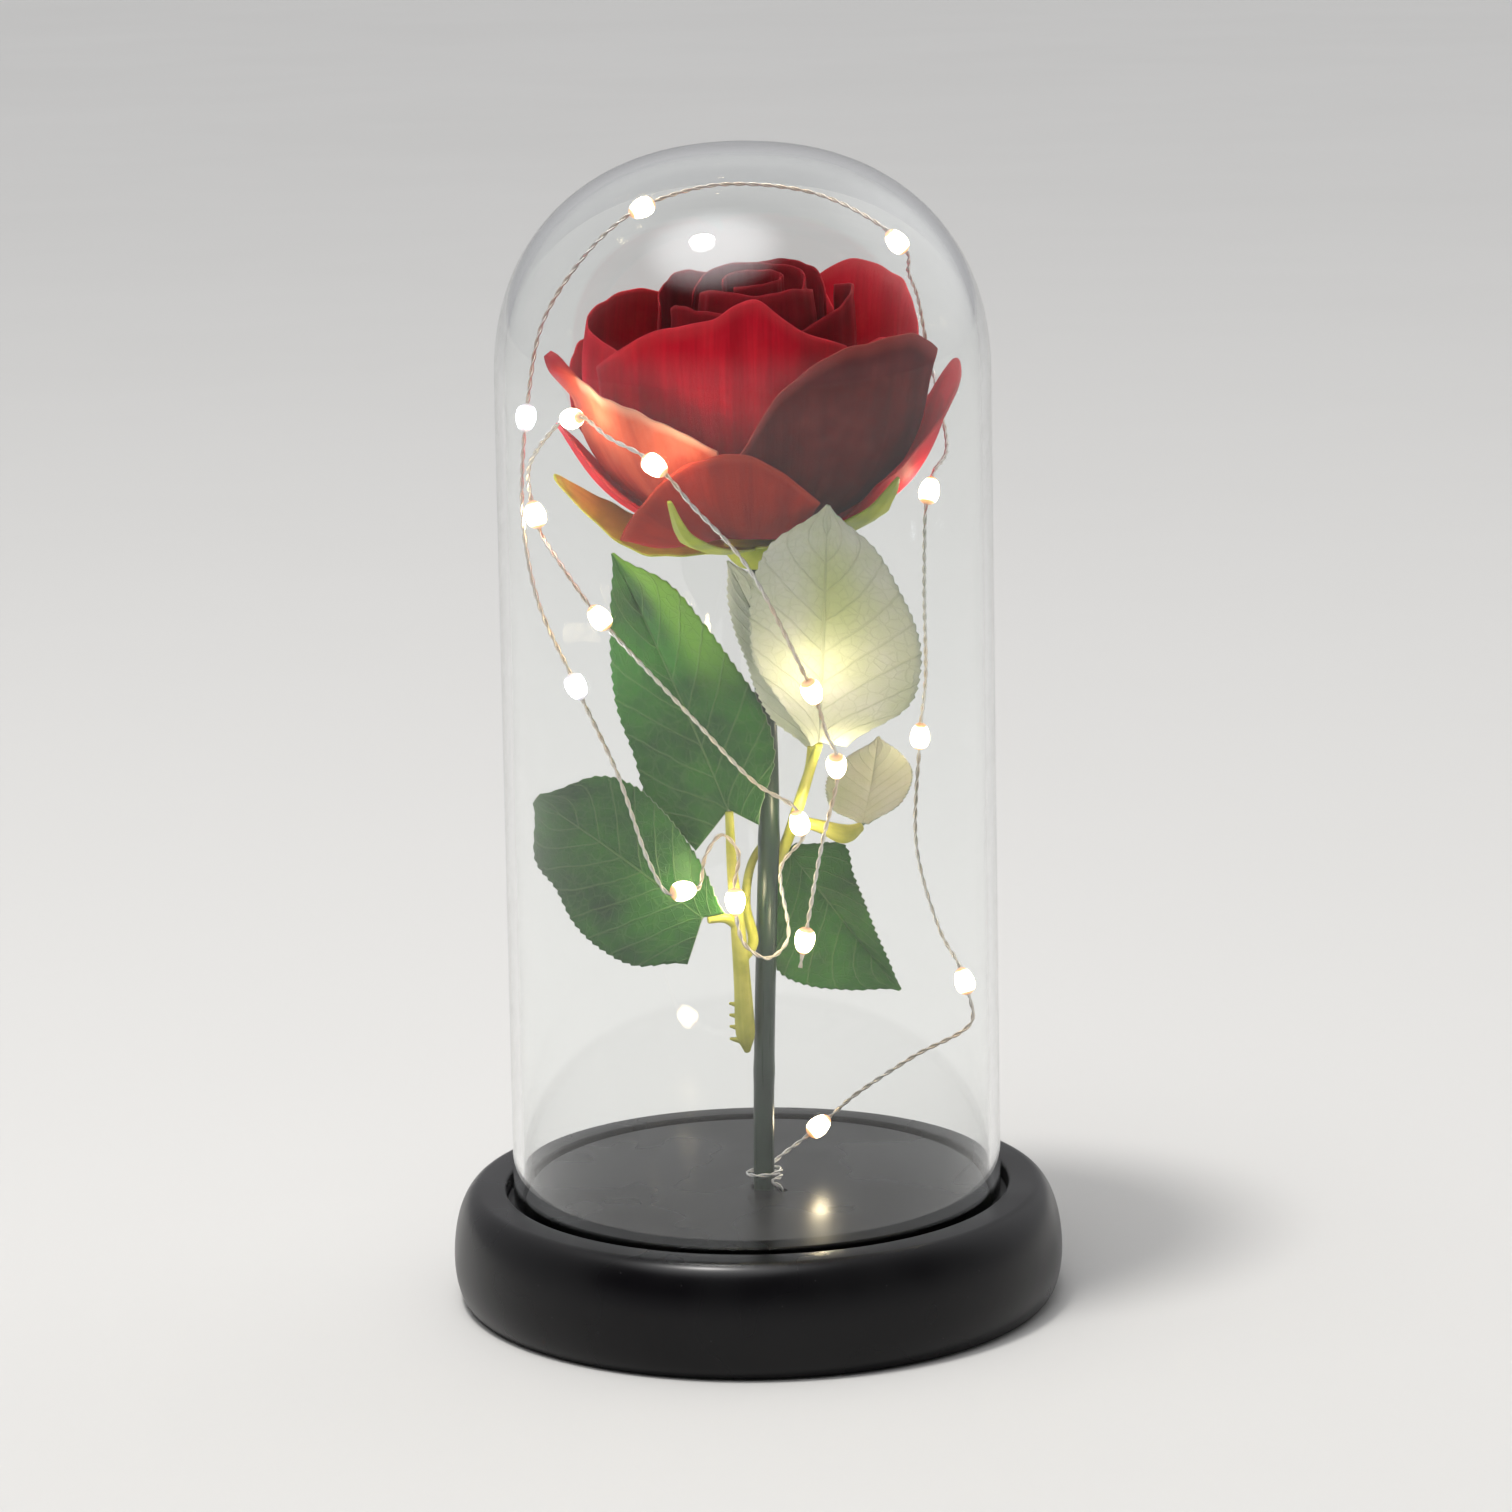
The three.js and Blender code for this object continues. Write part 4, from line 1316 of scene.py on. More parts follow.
@dataclass
class LampString:
    """The fine wire of twisted strands and the resin drops on it."""

    strand_radius: float = 0.22
    strand_offset: float = 0.21
    twist_pitch: float = 5.2
    ring_step: float = 0.4
    drop_length: float = 5.4
    drop_radius: float = 1.85
    lead: float = 0.4
    stem_wrap_radius: float = 3.2
    stem_wrap_turns: float = 1.35
    stem_wrap_steps: int = 6
    stem_wrap_start: float = -0.35 * math.pi
    stem_wrap_low: float = 23.2
    stem_wrap_high: float = 25.0
    above_hole_z: float = 21.6
    above_hole_floor: float = 0.6
    path_steps: int = 12
    cool_lamps: tuple[int, ...] = (7, 8)

    def stations(self) -> list[tuple]:
        """Stations of the whole wire, from the hole in the base and round the stem onwards.

        Returns:
            [x, y, z] stations, those of a lamp with LAMP as a fourth entry.
        """
        stem = smooth_path(STEM_STATIONS, np.linspace(0, 1, 400))
        steps = round(self.stem_wrap_turns * self.stem_wrap_steps)
        wrap = []
        for i in range(steps + 1):
            z = self.stem_wrap_low + (self.stem_wrap_high - self.stem_wrap_low) * i / steps
            near = stem[np.argmin(abs(stem[:, 2] - z))]
            angle = self.stem_wrap_start + i / self.stem_wrap_steps * 2 * math.pi
            wrap.append((near[0] + self.stem_wrap_radius * math.cos(angle),
                         near[1] + self.stem_wrap_radius * math.sin(angle), z))
        hole_z = WIRE_HOLE_FLOOR_Z + self.above_hole_floor
        start = [(*WIRE_HOLE, hole_z), (*WIRE_HOLE, self.above_hole_z)]
        return start + wrap + list(WIRE_ROUTE)

    def corners(self) -> tuple[list[np.ndarray], list[np.ndarray], list[np.ndarray]]:
        """Points that the wire passes, and the lamps on it.

        Returns:
            The wire's points, the lamps' centres and the ways that the wire runs through them.
        """
        stations = self.stations()
        last = len(stations) - 1
        points, centres, ways = [], [], []
        for i, station in enumerate(stations):
            here = np.array(station[:3], float)
            if len(station) < 4:
                points.append(here)
                continue
            ends = smooth_path(
                stations, np.array([max(i / last - 1e-4, 0), min(i / last + 1e-4, 1)])
            )
            way = (ends[1] - ends[0]) / np.linalg.norm(ends[1] - ends[0])
            reach = self.drop_length / 2 + self.lead
            points += [here - way * reach, here, here + way * reach]
            centres.append(here)
            ways.append(way)
        return points, centres, ways

    def build(self) -> None:
        """Makes the wire and the drops."""
        points, centres, ways = self.corners()
        path = smooth_path(points, np.linspace(0, 1, self.path_steps * len(points)))
        length = float(np.linalg.norm(np.diff(path, axis=0), axis=1).sum())
        LOG.info("lamp wire: %.0f mm long, %d lamps", length, len(centres))
        line = bpy.data.meshes.new("wire_line")
        line.from_pydata((path * MM).tolist(), [(i, i + 1) for i in range(len(path) - 1)], [])
        carrier = bpy.data.objects.new("wire_line", line)
        bpy.context.scene.collection.objects.link(carrier)
        tree = twisted_pair_tree(
            self.strand_radius, self.strand_offset, self.twist_pitch, self.ring_step
        )
        wire = tree.made(carrier, "twisted_lamp_wire", SilverWire().build())
        placed(wire, "silver_wire", "lamp_wire")
        for glow in Glow:
            chosen = [
                i for i in range(len(centres)) if (i + 1 in self.cool_lamps) == (glow is Glow.COOL)
            ]
            self.drops(glow, [centres[i] for i in chosen], [ways[i] for i in chosen],
                       [f"lamp_{i + 1:02d}" for i in chosen])

    def drops(
        self, glow: Glow, centres: list[np.ndarray], ways: list[np.ndarray], nodes: list[str]
    ) -> None:
        """Makes the resin drops of one light colour.

        Args:
            glow: the colour of their light.
            centres: their middles.
            ways: the ways that they point.
            nodes: the solids that they stand for.
        """
        name = f"resin_drops_{glow.name.lower()}"
        mesh = bpy.data.meshes.new(name)
        mesh.from_pydata((np.array(centres) * MM).tolist(), [], [])
        way = mesh.attributes.new("way", "FLOAT_VECTOR", "POINT")
        way.data.foreach_set("vector", np.ravel(ways))
        carrier = bpy.data.objects.new(name + "_points", mesh)
        bpy.context.scene.collection.objects.link(carrier)
        tree = resin_drop_tree(self.drop_length, self.drop_radius)
        placed(tree.made(carrier, name, LitResin(glow).build()), "lit_resin", *nodes)


# Base and glass


@dataclass
class TurnedBase:
    """The round black base with its ring groove, and the pad under it."""

    radius: float = 57.5
    foot_radius: float = 54.3
    top_radius: float = 52.2
    height: float = 21.4
    widest_z: float = 8.4
    groove_outer: float = 47.4
    groove_inner: float = 43.3
    groove_floor: float = 18.2
    pad_radius: float = 48.0
    pad_thickness: float = 1.2
    gap: float = 0.3
    socket_radius: float = 2.6
    socket_floor: float = 15.4
    wire_hole_radius: float = 1.1
    under_steps: int = 10
    shoulder_steps: int = 16
    hole_segments: int = 32
    segments: int = 160

    def hole(self, place: Point, radius: float, floor: float) -> Surface:
        """An upright hole as a solid to cut away.

        Args:
            place: where it is; only x and y count.
            radius: its radius.
            floor: the height of its floor.

        Returns:
            The solid, which reaches 1 mm above the base.
        """
        top = self.height + 1
        profile = [(0, floor), (radius, floor), (radius, top), (0, top)]
        solid = turned(profile, self.hole_segments)
        solid.vertices = solid.vertices + np.array([place[0], place[1], 0])
        return solid

    def build(self) -> None:
        """Makes base and pad."""
        widest = (self.radius, self.widest_z)
        under = quarter_round(widest, (self.foot_radius, 0), self.under_steps)
        shoulder = quarter_round(widest, (self.top_radius, self.height), self.shoulder_steps)
        recess = self.pad_thickness + self.gap
        profile = rounded_profile([
            (0, recess, 0), (self.pad_radius + self.gap, recess, 0),
            (self.pad_radius + self.gap, 0, 0.3),
            *under[::-1], *shoulder[1:],
            (self.groove_outer, self.height, 0.7), (self.groove_outer, self.groove_floor, 0.5),
            (self.groove_inner, self.groove_floor, 0.5), (self.groove_inner, self.height, 0.6),
            (0, self.height, 0),
        ])
        body = combined("lacquered_base", [
            turned(profile, self.segments),
            self.hole(STEM_STATIONS[0], self.socket_radius, self.socket_floor),
            self.hole(WIRE_HOLE, self.wire_hole_radius, WIRE_HOLE_FLOOR_Z),
        ], Join.CUT, Lacquer().build(), 32)
        placed(body, "black_lacquer", "base")
        pad_profile = rounded_profile([
            (0, 0, 0), (self.pad_radius, 0, 0.35), (self.pad_radius, self.pad_thickness, 0.2),
            (0, self.pad_thickness, 0),
        ])
        pad = turned(pad_profile, self.segments).build("rubber_foot_pad", SoftFoot().build(), 40)
        placed(pad, "foot_rubber", "foot_pad")


@dataclass
class GlassDome:
    """The open glass bell that stands in the groove."""

    foot_radius: float = 46.0
    radius: float = 45.6
    wall: float = 2.0
    top_z: float = 217.2
    cap_height: float = 43.3
    cap_power: float = 2.24
    foot_z: float = 18.5
    foot_fillet: float = 0.7
    cap_steps: int = 40
    wall_steps: int = 24
    segments: int = 160

    def cap(self, radius: float, height: float, top: float) -> list[tuple[float, float]]:
        """Profile of the rounded cap.

        Args:
            radius: its radius at the side.
            height: its height.
            top: the height of its top.

        Returns:
            [radius, z] points from its side to its top.
        """
        points = []
        for i in range(self.cap_steps + 1):
            angle = i / self.cap_steps * math.pi / 2
            points.append((radius * max(math.cos(angle), 0) ** (2 / self.cap_power),
                           top - height + height * math.sin(angle) ** (2 / self.cap_power)))
        points[-1] = (0.0, top)
        return points

    def build(self) -> None:
        """Makes the dome."""
        outer = self.cap(self.radius, self.cap_height, self.top_z)
        inner = self.cap(
            self.radius - self.wall, self.cap_height - self.wall, self.top_z - self.wall
        )
        foot = rounded_profile([
            (self.radius - self.wall, inner[0][1] - 1, 0),
            (self.foot_radius - self.wall, self.foot_z, self.foot_fillet),
            (self.foot_radius, self.foot_z, self.foot_fillet),
            (self.radius, outer[0][1] - 1, 0),
        ], 5)
        rise = [i / self.wall_steps for i in range(1, self.wall_steps)]
        inside = [tuple(np.array(foot[0]) * (1 - w) + np.array(foot[1]) * w) for w in rise]
        outside = [tuple(np.array(foot[-2]) * (1 - w) + np.array(foot[-1]) * w) for w in rise]
        profile = inner[::-1] + foot[:1] + inside + foot[1:-1] + outside + foot[-1:] + outer
        dome = turned(profile, self.segments).build("clear_glass_dome", ClearGlass().build())
        placed(dome, "clear_glass", "glass_dome")


# Rose


@dataclass(frozen=True)
class Petal:
    """One petal: its name, its lip's roll, its belly, and the rim as (azimuth, radius, height).

    Folds are (azimuth, half width in degrees, height) ridges that run up the petal. Corner is the
    share of its height that its rounded corners take off, and tip how far its first corner is drawn
    out into a plump rolled tip.
    """

    name: str
    lip: float
    belly: float
    rim: tuple[Point, ...]
    folds: tuple[Point, ...] = ()
    skin: str = "deep"
    tip: Point = (0.0, 0.0, 0.0)
    corner: float = 0.0


@dataclass(frozen=True)
class Whorl:
    """Petals attached at one depth."""

    claw: float
    petals: tuple[Petal, ...]


WHORLS = (
    Whorl(0, (
        Petal("petal_front_low", 0.8, 0, (
            (-139, 31, 3), (-121, 31.8, 14), (-103, 33.6, 20), (-87, 33.4, 18.4), (-70, 31.5, 10.6),
        ), skin="orange_painted_light"),
        Petal("petal_left_low", 0.6, 0, (
            (-208, 30, 10), (-192, 33.8, 18), (-174, 35, 21.4), (-159, 34, 19.4), (-143, 28.5, 9.5),
        ), skin="pink_painted_light"),
        Petal("petal_right_low", 1.6, 0, (
            (-40, 31.6, 16.4), (-26, 34.2, 22.6), (-12, 35.6, 28.4), (4, 35.4, 32), (22, 33.2, 25),
        ), skin="pink_painted_light", corner=0.05),
        Petal("petal_back_right_low", 2, 0, (
            (25, 30, 14), (44, 33.4, 21.4), (66, 34.5, 23), (88, 32.6, 15),
        ), skin="pink_painted_light", corner=0.12),
        Petal("petal_back_left_low", 2, 0, (
            (91, 30, 13), (109, 33.4, 21), (128, 34.5, 22.6), (149, 32.4, 14),
        ), skin="pink_painted_light", corner=0.12),
    )),
    Whorl(0.14, (
        Petal("petal_front_left", 1.2, 0, (
            (-160, 34.8, 33.4), (-148, 33.8, 31.2), (-133, 32.8, 27.6), (-117, 31.6, 24.8),
            (-102, 30.4, 20.4),
        ), skin="salmon_painted_light", tip=(-2.0, -0.3, 2.2)),
        Petal("petal_front_right", 0.8, 0, (
            (-95, 31.2, 19.5), (-80, 30.6, 31.4), (-58, 30.6, 37.4), (-35, 31.8, 39),
            (-11, 32.6, 34.6),
        ), folds=((-42, 5, 0.9), (-62, 6, -0.4)), skin="brown_painted_shade"),
        Petal("petal_back_right", 1, 0, (
            (-10, 28.4, 33), (12, 29, 40.6), (36, 31.2, 46.2), (58, 32.2, 47.2), (79, 31.6, 39),
        ), folds=((30, 6, 0.5),), corner=0.06),
        Petal("petal_back", 1.2, 0, (
            (75, 28.4, 36), (94, 30.6, 43.4), (112, 30.6, 44), (134, 27.8, 34),
        ), corner=0.08),
        Petal("petal_back_left", 1, 0, (
            (131, 31.6, 30), (151, 32.2, 34.8), (170, 32.4, 33), (187, 32.4, 26),
        ), corner=0.08),
    )),
    Whorl(0.3, (
        Petal("petal_middle_front", 0.4, 0.03, (
            (-156, 30, 33), (-127, 27.6, 40.4), (-105, 27, 42.6), (-90, 26.4, 46.6), (-74, 27, 41),
            (-52, 26, 37),
        ), folds=((-100, 3, 0.35), (-92, 2.5, -0.4), (-84, 3, 0.4), (-125, 9, 0.35))),
        Petal("petal_middle_left", 0, 0.05, (
            (118, 24.2, 40), (142, 25.4, 43.4), (166, 28, 42.6), (188, 30.2, 39), (207, 27.2, 35.4),
        )),
        Petal("petal_middle_right", 0.5, 0, (
            (-58, 22.8, 28), (-30, 25.6, 33), (0, 26, 34), (28, 26, 34), (50, 25.4, 29),
        ), corner=0.05),
        Petal("petal_middle_back", 0.5, 0, (
            (47.5, 21.6, 40.6), (70, 24.6, 45.2), (96, 24.2, 45.4), (122, 21, 41.6),
        ), corner=0.03),
    )),
    Whorl(0.5, (
        Petal("petal_inner_front", 0.2, 0.02, (
            (-181, 13.4, 40.6), (-148, 15.6, 43), (-112, 16, 42.6), (-66, 16.2, 39),
        ), skin="bud"),
        Petal("petal_inner_right", 0.2, 0.02, (
            (-74, 13.4, 36), (-40, 17, 41.4), (-2, 17.8, 45.2), (33, 17.6, 44.4),
        ), skin="bud"),
        Petal("petal_inner_back", 0.2, 0.02, (
            (26, 14.4, 43), (52, 17.2, 47.6), (80, 17.8, 48.2), (107, 17.8, 45),
        ), skin="bud"),
        Petal("petal_inner_left", 0.2, 0.02, (
            (101, 14.2, 44), (128, 17.2, 47), (156, 17, 45.6), (185, 16.2, 42.2),
        ), skin="bud"),
    )),
    Whorl(0.74, (
        Petal("petal_bud_front", 0, 0.02, (
            (-188, 8.8, 42.6), (-140, 10.4, 45.4), (-90, 10.6, 45), (-45, 10.8, 45.4),
            (-4, 10.8, 44.6),
        ), skin="bud"),
        Petal("petal_bud_back", 0, 0.02, (
            (-12, 8.6, 43.6), (34, 10.6, 47.6), (82, 11, 48.4), (128, 10.8, 47.8), (170, 10.8, 44),
        ), skin="bud"),
    )),
    Whorl(0.93, (
        Petal("petal_bud_roll", 0, 0, (
            (-130, 5, 45.6), (-50, 5.2, 46.4), (30, 5.4, 47.4), (110, 5.4, 47.6), (190, 5.2, 46.2),
        ), skin="bud"),
    )),
)


@dataclass
class RoseHead:
    """Petals and calyx about the axis of the flower."""

    centre: Point = (2.0, -2.0, 146.0)
    wide_bowl: tuple[Point, ...] = (
        (5, 0), (17, 2), (28, 8.5), (34.5, 18), (37, 29.5), (37.5, 41), (37.2, 50)
    )
    tight_bowl: tuple[Point, ...] = (
        (0.9, 8), (2.2, 14), (3.4, 22), (4.2, 30), (4.4, 38), (4.0, 45), (3.8, 49)
    )
    bowl_step: float = 0.2
    claw_share: float = 0.55
    lip_start: float = 0.74
    lip_drop: float = 0.4
    thickness: float = 0.6
    rim_thickness: float = 0.34
    rows: int = 34
    columns_per_degree: float = 0.55
    fewest_columns: int = 30
    most_columns: int = 110
    curl_start: float = 0.93
    rolled_curl: float = 0.35
    plain_curl: float = 0.1
    curl_drop: float = 0.4
    tip_root: float = 2.2
    tip_reach: float = 6.4
    tip_plumpness: float = 2.2
    ripple: float = 0.34
    rim_wave: float = 0.45
    hip: tuple[Point, ...] = (
        (0, -6.6), (2.9, -6.6), (4.9, -5.0), (6.1, -3.0),
        (5.6, -1.6), (3.8, -0.6), (2.4, 2.6), (0, 6.0),
    )
    sepals: tuple[tuple, ...] = (
        (-177, 4.8, 0, 1.2, ((4.2, -2.9), (13, -1.8), (22, 0.2), (30, 5.4), (36.8, 11.2))),
        (-114, 2.8, 0.6, 0, ((4.6, -2.6), (14, -1.6), (24, 0.6), (32, 4.6), (37.4, 11.4))),
        (-41, 8.4, 1.4, 0, ((4.0, -2.4), (13, -1.4), (21, 1.6), (28.4, 6.2), (33.4, 13))),
        (38, 3.6, 1.2, 0, ((4.6, -2.6), (13, -1.4), (22, 1.2), (30, 6), (35, 11))),
        (104, 3.6, 1.2, 0, ((4.6, -2.6), (13, -1.4), (23, 1.2), (31, 5.6), (36, 9.6))),
    )
    sepal_thickness: float = 1.0
    sepal_rows: int = 40
    sepal_columns: int = 16
    hip_steps: int = 40
    # The velvets: deep is the petals' own red; the others are copies that carry painted light or
    # shade.
    skins: dict[str, Velvet] = field(default_factory=lambda: {
        "deep": Velvet("red_velvet"),
        # partly painted shade: a darker copy of the red velvet for the inner petals, standing in
        # for the shade deep in the flower as well as the darker red of its centre
        "bud": Velvet(
            "red_velvet_bud", (0.24, 0.001, 0.010), (0.24, 0.001, 0.009), (0.06, 0.0003, 0.003),
            (0.40, 0.02, 0.03)
        ),
        # painted shade: a dark brown red copy of the red velvet, standing in for the shade on the
        # front right petal; its strong lighter rim is a painted highlight
        "brown_painted_shade": Velvet("red_velvet_brown", outer=(0.19, 0.011, 0.009), shade=(0.055, 0.002, 0.002),
                        rim=(0.55, 0.10, 0.09), rim_highlight_share=0.7),
        # painted lamp light: an orange red copy of the red velvet, standing in for the lamp light
        # on the front low petal
        "orange_painted_light": Velvet("red_velvet_orange", outer=(0.50, 0.026, 0.010), rim=(0.70, 0.10, 0.06)),
        # painted lamp light: a brighter pink red copy of the red velvet, standing in for the lamp
        # light on the low petals
        "pink_painted_light": Velvet(
            "red_velvet_pink", (0.86, 0.008, 0.034), (0.88, 0.020, 0.050), (0.42, 0.003, 0.014),
            (0.92, 0.14, 0.14)
        ),
        # painted lamp light: a pale salmon copy of the red velvet, standing in for the lamp light
        # that falls on the front left petal
        "salmon_painted_light": Velvet("red_velvet_salmon", outer=(0.80, 0.155, 0.085), shade=(0.46, 0.03, 0.02),
                         rim=(0.90, 0.46, 0.34), rim_highlight_share=0.8),
    })

    def bowl(self, depth: np.ndarray, reach: np.ndarray) -> np.ndarray:
        """Point [radius, height] on the nested bowls.

        Args:
            depth: 0 on the widest bowl, 1 on the tightest.
            reach: how far up the bowl.

        Returns:
            The points.
        """
        t = np.minimum(reach / (self.bowl_step * (len(self.wide_bowl) - 1)), 1)
        wide, tight = profile_curve(self.wide_bowl, t), profile_curve(self.tight_bowl, t)
        return wide + (tight - wide) * np.asarray(depth)[..., None]

    def address(self, radius: float, height: float) -> tuple[float, float]:
        """Where among the bowls a point lies.

        Args:
            radius: its radius.
            height: its height.

        Returns:
            Its depth and its reach.
        """
        low, high, depth = 0.05, self.bowl_step * (len(self.wide_bowl) - 1), 0.0
        for _ in range(30):
            middle = (low + high) / 2
            wide, tight = self.bowl(np.array([0.0, 1.0]), np.array([middle, middle]))
            depth = (wide[0] - radius) / (wide[0] - tight[0])
            if wide[1] + (tight[1] - wide[1]) * depth < height:
                low = middle
            else:
                high = middle
        return depth, (low + high) / 2

    def petal_surface(self, whorl: Whorl, petal: Petal, seed: int) -> Surface:
        """The skin of one petal.

        Args:
            whorl: its whorl.
            petal: the petal.
            seed: number that sets its small ripples.

        Returns:
            The closed skin, with the value "rim" rising to 1 at the rim.
        """
        stations = np.array([(azimuth, *self.address(r, h)) for azimuth, r, h in petal.rim])
        span = stations[-1, 0] - stations[0, 0]
        has_tip = any(petal.tip)
        rows = 2 * self.rows if has_tip else self.rows
        wanted = np.clip(span * self.columns_per_degree, self.fewest_columns, self.most_columns)
        columns = self.most_columns if has_tip else int(wanted)
        across = np.linspace(0, 1, columns + 1)[None, :] ** (1.7 if has_tip else 1)
        up = 1 - (1 - np.linspace(0, 1, rows + 1)[:, None]) ** (1.5 if has_tip else 1.15)
        edge = rim_curve(stations, across)
        phase = seed * 1.7
        wave = np.sin(across * math.pi) * (
            np.sin(across * 19 + phase) * 0.5
            + np.sin(across * 43 + 2 * phase) * 0.3
            + np.sin(across * 7 + phase) * 0.6
        )
        share = self.claw_share + (1 - self.claw_share) * smoothstep(up, -0.6, 0.7)
        middle = (stations[0, 0] + stations[-1, 0]) / 2
        azimuth = middle + (edge[..., 0] - middle) * share
        depth = whorl.claw + (edge[..., 1] - whorl.claw) * smoothstep(up, 0.05, 0.85)
        depth = depth - petal.belly * np.sin(math.pi * up * up)
        rounding = 1 - petal.corner * (
            np.exp(-((across / 0.07) ** 2)) + np.exp(-(((1 - across) / 0.07) ** 2))
        )
        reach = up * (edge[..., 2] * rounding + wave * self.rim_wave * 0.02)
        point = self.bowl(depth, reach)
        roll = smoothstep(up, self.lip_start, 1) ** 2
        curl = self.rolled_curl if petal.lip > 0 else self.plain_curl
        curl = smoothstep(up, self.curl_start, 1) * curl
        radius = point[..., 0] + petal.lip * roll + curl
        height = point[..., 1] - petal.lip * self.lip_drop * roll - curl * self.curl_drop
        for fold_azimuth, half_width, fold_height in petal.folds:
            ridge = np.exp(-(((azimuth - fold_azimuth) / half_width) ** 2))
            radius = radius + fold_height * ridge * smoothstep(up, 0.15, 0.6) * (1 - 0.5 * roll)
        angle = azimuth * DEGREE
        ripple = self.ripples(angle, up * np.ones_like(angle), seed)
        inside = np.sin(across * math.pi) ** 0.5
        radius = radius + ripple * self.ripple * smoothstep(up, 0.1, 0.8) * inside
        grid = np.stack([radius * np.cos(angle), radius * np.sin(angle), height], axis=-1)
        grid = grid + np.array(self.centre)
        slim = smoothstep(up, 0.8, 1) * np.ones_like(angle)
        thickness = self.thickness + (self.rim_thickness - self.thickness) * slim
        drawn = np.zeros_like(angle)
        if has_tip:
            drawn = 1 - smoothstep(
                np.linalg.norm(grid - grid[-1, 0], axis=-1), self.tip_root, self.tip_reach
            )
            grid = grid + drawn[..., None] * np.array(petal.tip)
            thickness = thickness + drawn * self.tip_plumpness
        skin = shell(grid, thickness)
        level = (up * (1 - 0.4 * drawn)).reshape(-1)
        edge_of_skin = rim_loop(rows, columns)
        skin.values["rim"] = np.concatenate([level, level, level[edge_of_skin]])
        bare = drawn.reshape(-1)
        skin.values["plus"] *= 1 - np.concatenate([bare, bare, bare[edge_of_skin]])
        return skin

    def ripples(self, angle: np.ndarray, up: np.ndarray, seed: int) -> np.ndarray:
        """Gentle waves of a petal.

        Args:
            angle: the angle of each point, in radians.
            up: how far up the petal each point is.
            seed: the petal's number.

        Returns:
            The waves, from -1 to 1.
        """
        places = zip(angle.reshape(-1), up.reshape(-1))
        values = [noise.noise(Vector((a * 5.5, t * 1.6, seed * 7.3))) for a, t in places]
        return np.array(values).reshape(angle.shape)

    def sepal_surface(self, azimuth: float, half_width: float, rise: float, twist: float,
                      midline: Sequence[Point]) -> Surface:
        """The skin of one sepal: a tapering tongue with a ridge along its middle.

        Args:
            azimuth: the way it points, in degrees.
            half_width: half its width.
            rise: how far its sides rise above its middle.
            twist: how much it turns over towards its end.
            midline: [radius, height] points along its middle.

        Returns:
            The closed skin.
        """
        t = np.linspace(0, 1, self.sepal_rows + 1)[:, None]
        u = np.linspace(-1, 1, self.sepal_columns + 1)[None, :]
        station = profile_curve(midline, t * np.ones_like(u))
        fullness = 0.6 + 0.4 * np.sin(math.pi * np.minimum(t * 1.2, 1))
        width = half_width * fullness * (1 - t**3) + 0.3
        width = width * (1 + 0.05 * np.sin(t * 34 + azimuth))
        out = np.array([math.cos(azimuth * DEGREE), math.sin(azimuth * DEGREE), 0])
        side = np.array([-out[1], out[0], 0])
        grid = station[..., :1] * out + (u * width)[..., None] * side
        swell = np.sin(math.pi * np.minimum(t + 0.1, 1))
        grid[..., 2] = station[..., 1] + rise * abs(u) * swell - twist * t * u * width
        thickness = self.sepal_thickness * (1 - 0.45 * abs(u)) * (1 - 0.35 * t)
        return shell(grid + np.array(self.centre), thickness)

    def build(self) -> None:
        """Makes calyx and petals."""
        hip_path = profile_curve(self.hip, np.linspace(0, 1, self.hip_steps))
        hip_profile = [(max(float(r), 0.0), float(z)) for r, z in hip_path]
        hip_profile[0], hip_profile[-1] = (0.0, self.hip[0][1]), (0.0, self.hip[-1][1])
        hip = turned(hip_profile, self.hip_steps)
        hip.vertices = hip.vertices + np.array(self.centre)
        hip.uv = np.zeros((len(hip.vertices), 2))
        parts = [hip] + [self.sepal_surface(*sepal) for sepal in self.sepals]
        calyx = combined("green_calyx", parts, Join.UNION, Sprout("sepal_green").build(), 50)
        placed(calyx, "sprout_green", "calyx")
        skins = {key: velvet.build() for key, velvet in self.skins.items()}
        seed = 0
        for whorl in WHORLS:
            for petal in whorl.petals:
                seed += 1
                surface = self.petal_surface(whorl, petal, seed)
                piece = surface.build("velvet_" + petal.name, skins[petal.skin])
                placed(piece, "red_velvet", petal.name)


@dataclass
class RoseStem:
    """The dark green stem."""

    radius: float = 2.05
    sides: int = 28
    steps: int = 150
    waist: float = 0.1
    knuckles: tuple[tuple[float, float], ...] = ((44, 0.10), (88, 0.12), (126, 0.08))
    knuckle_spread: float = 2.2

    def build(self) -> None:
        """Makes the stem, with a few low knuckles."""
        path = smooth_path(STEM_STATIONS, np.linspace(0, 1, self.steps + 1))
        radii = np.full(len(path), self.radius - self.waist)
        for z, height in self.knuckles:
            radii = radii + height * np.exp(-(((path[:, 2] - z) / self.knuckle_spread) ** 2))
        piece = tube(path, radii, self.sides).build("green_rose_stem", StemPlastic().build(), 50)
        placed(piece, "stem_green", "rose_stem")


# Leaves


@dataclass(frozen=True)
class Leaf:
    """A leaf: base and tip of its midrib, the way its shown face looks, and its outline.

    Lobe is how far it reaches back past the base, cup how much it cups, and the two width lists are
    the half widths of its sides at even steps from base to tip.
    """

    name: str
    base: Point
    tip: Point
    face: Point
    lobe: float
    cup: float
    plus_widths: tuple[float, ...]
    minus_widths: tuple[float, ...]
    shown: LeafSide
    # strength of the painted highlight along one edge of the upper face
    painted_lit_edge: float = 0.0
    teeth: int = 26
    tooth: float = 0.5
    patch: float = 0.0


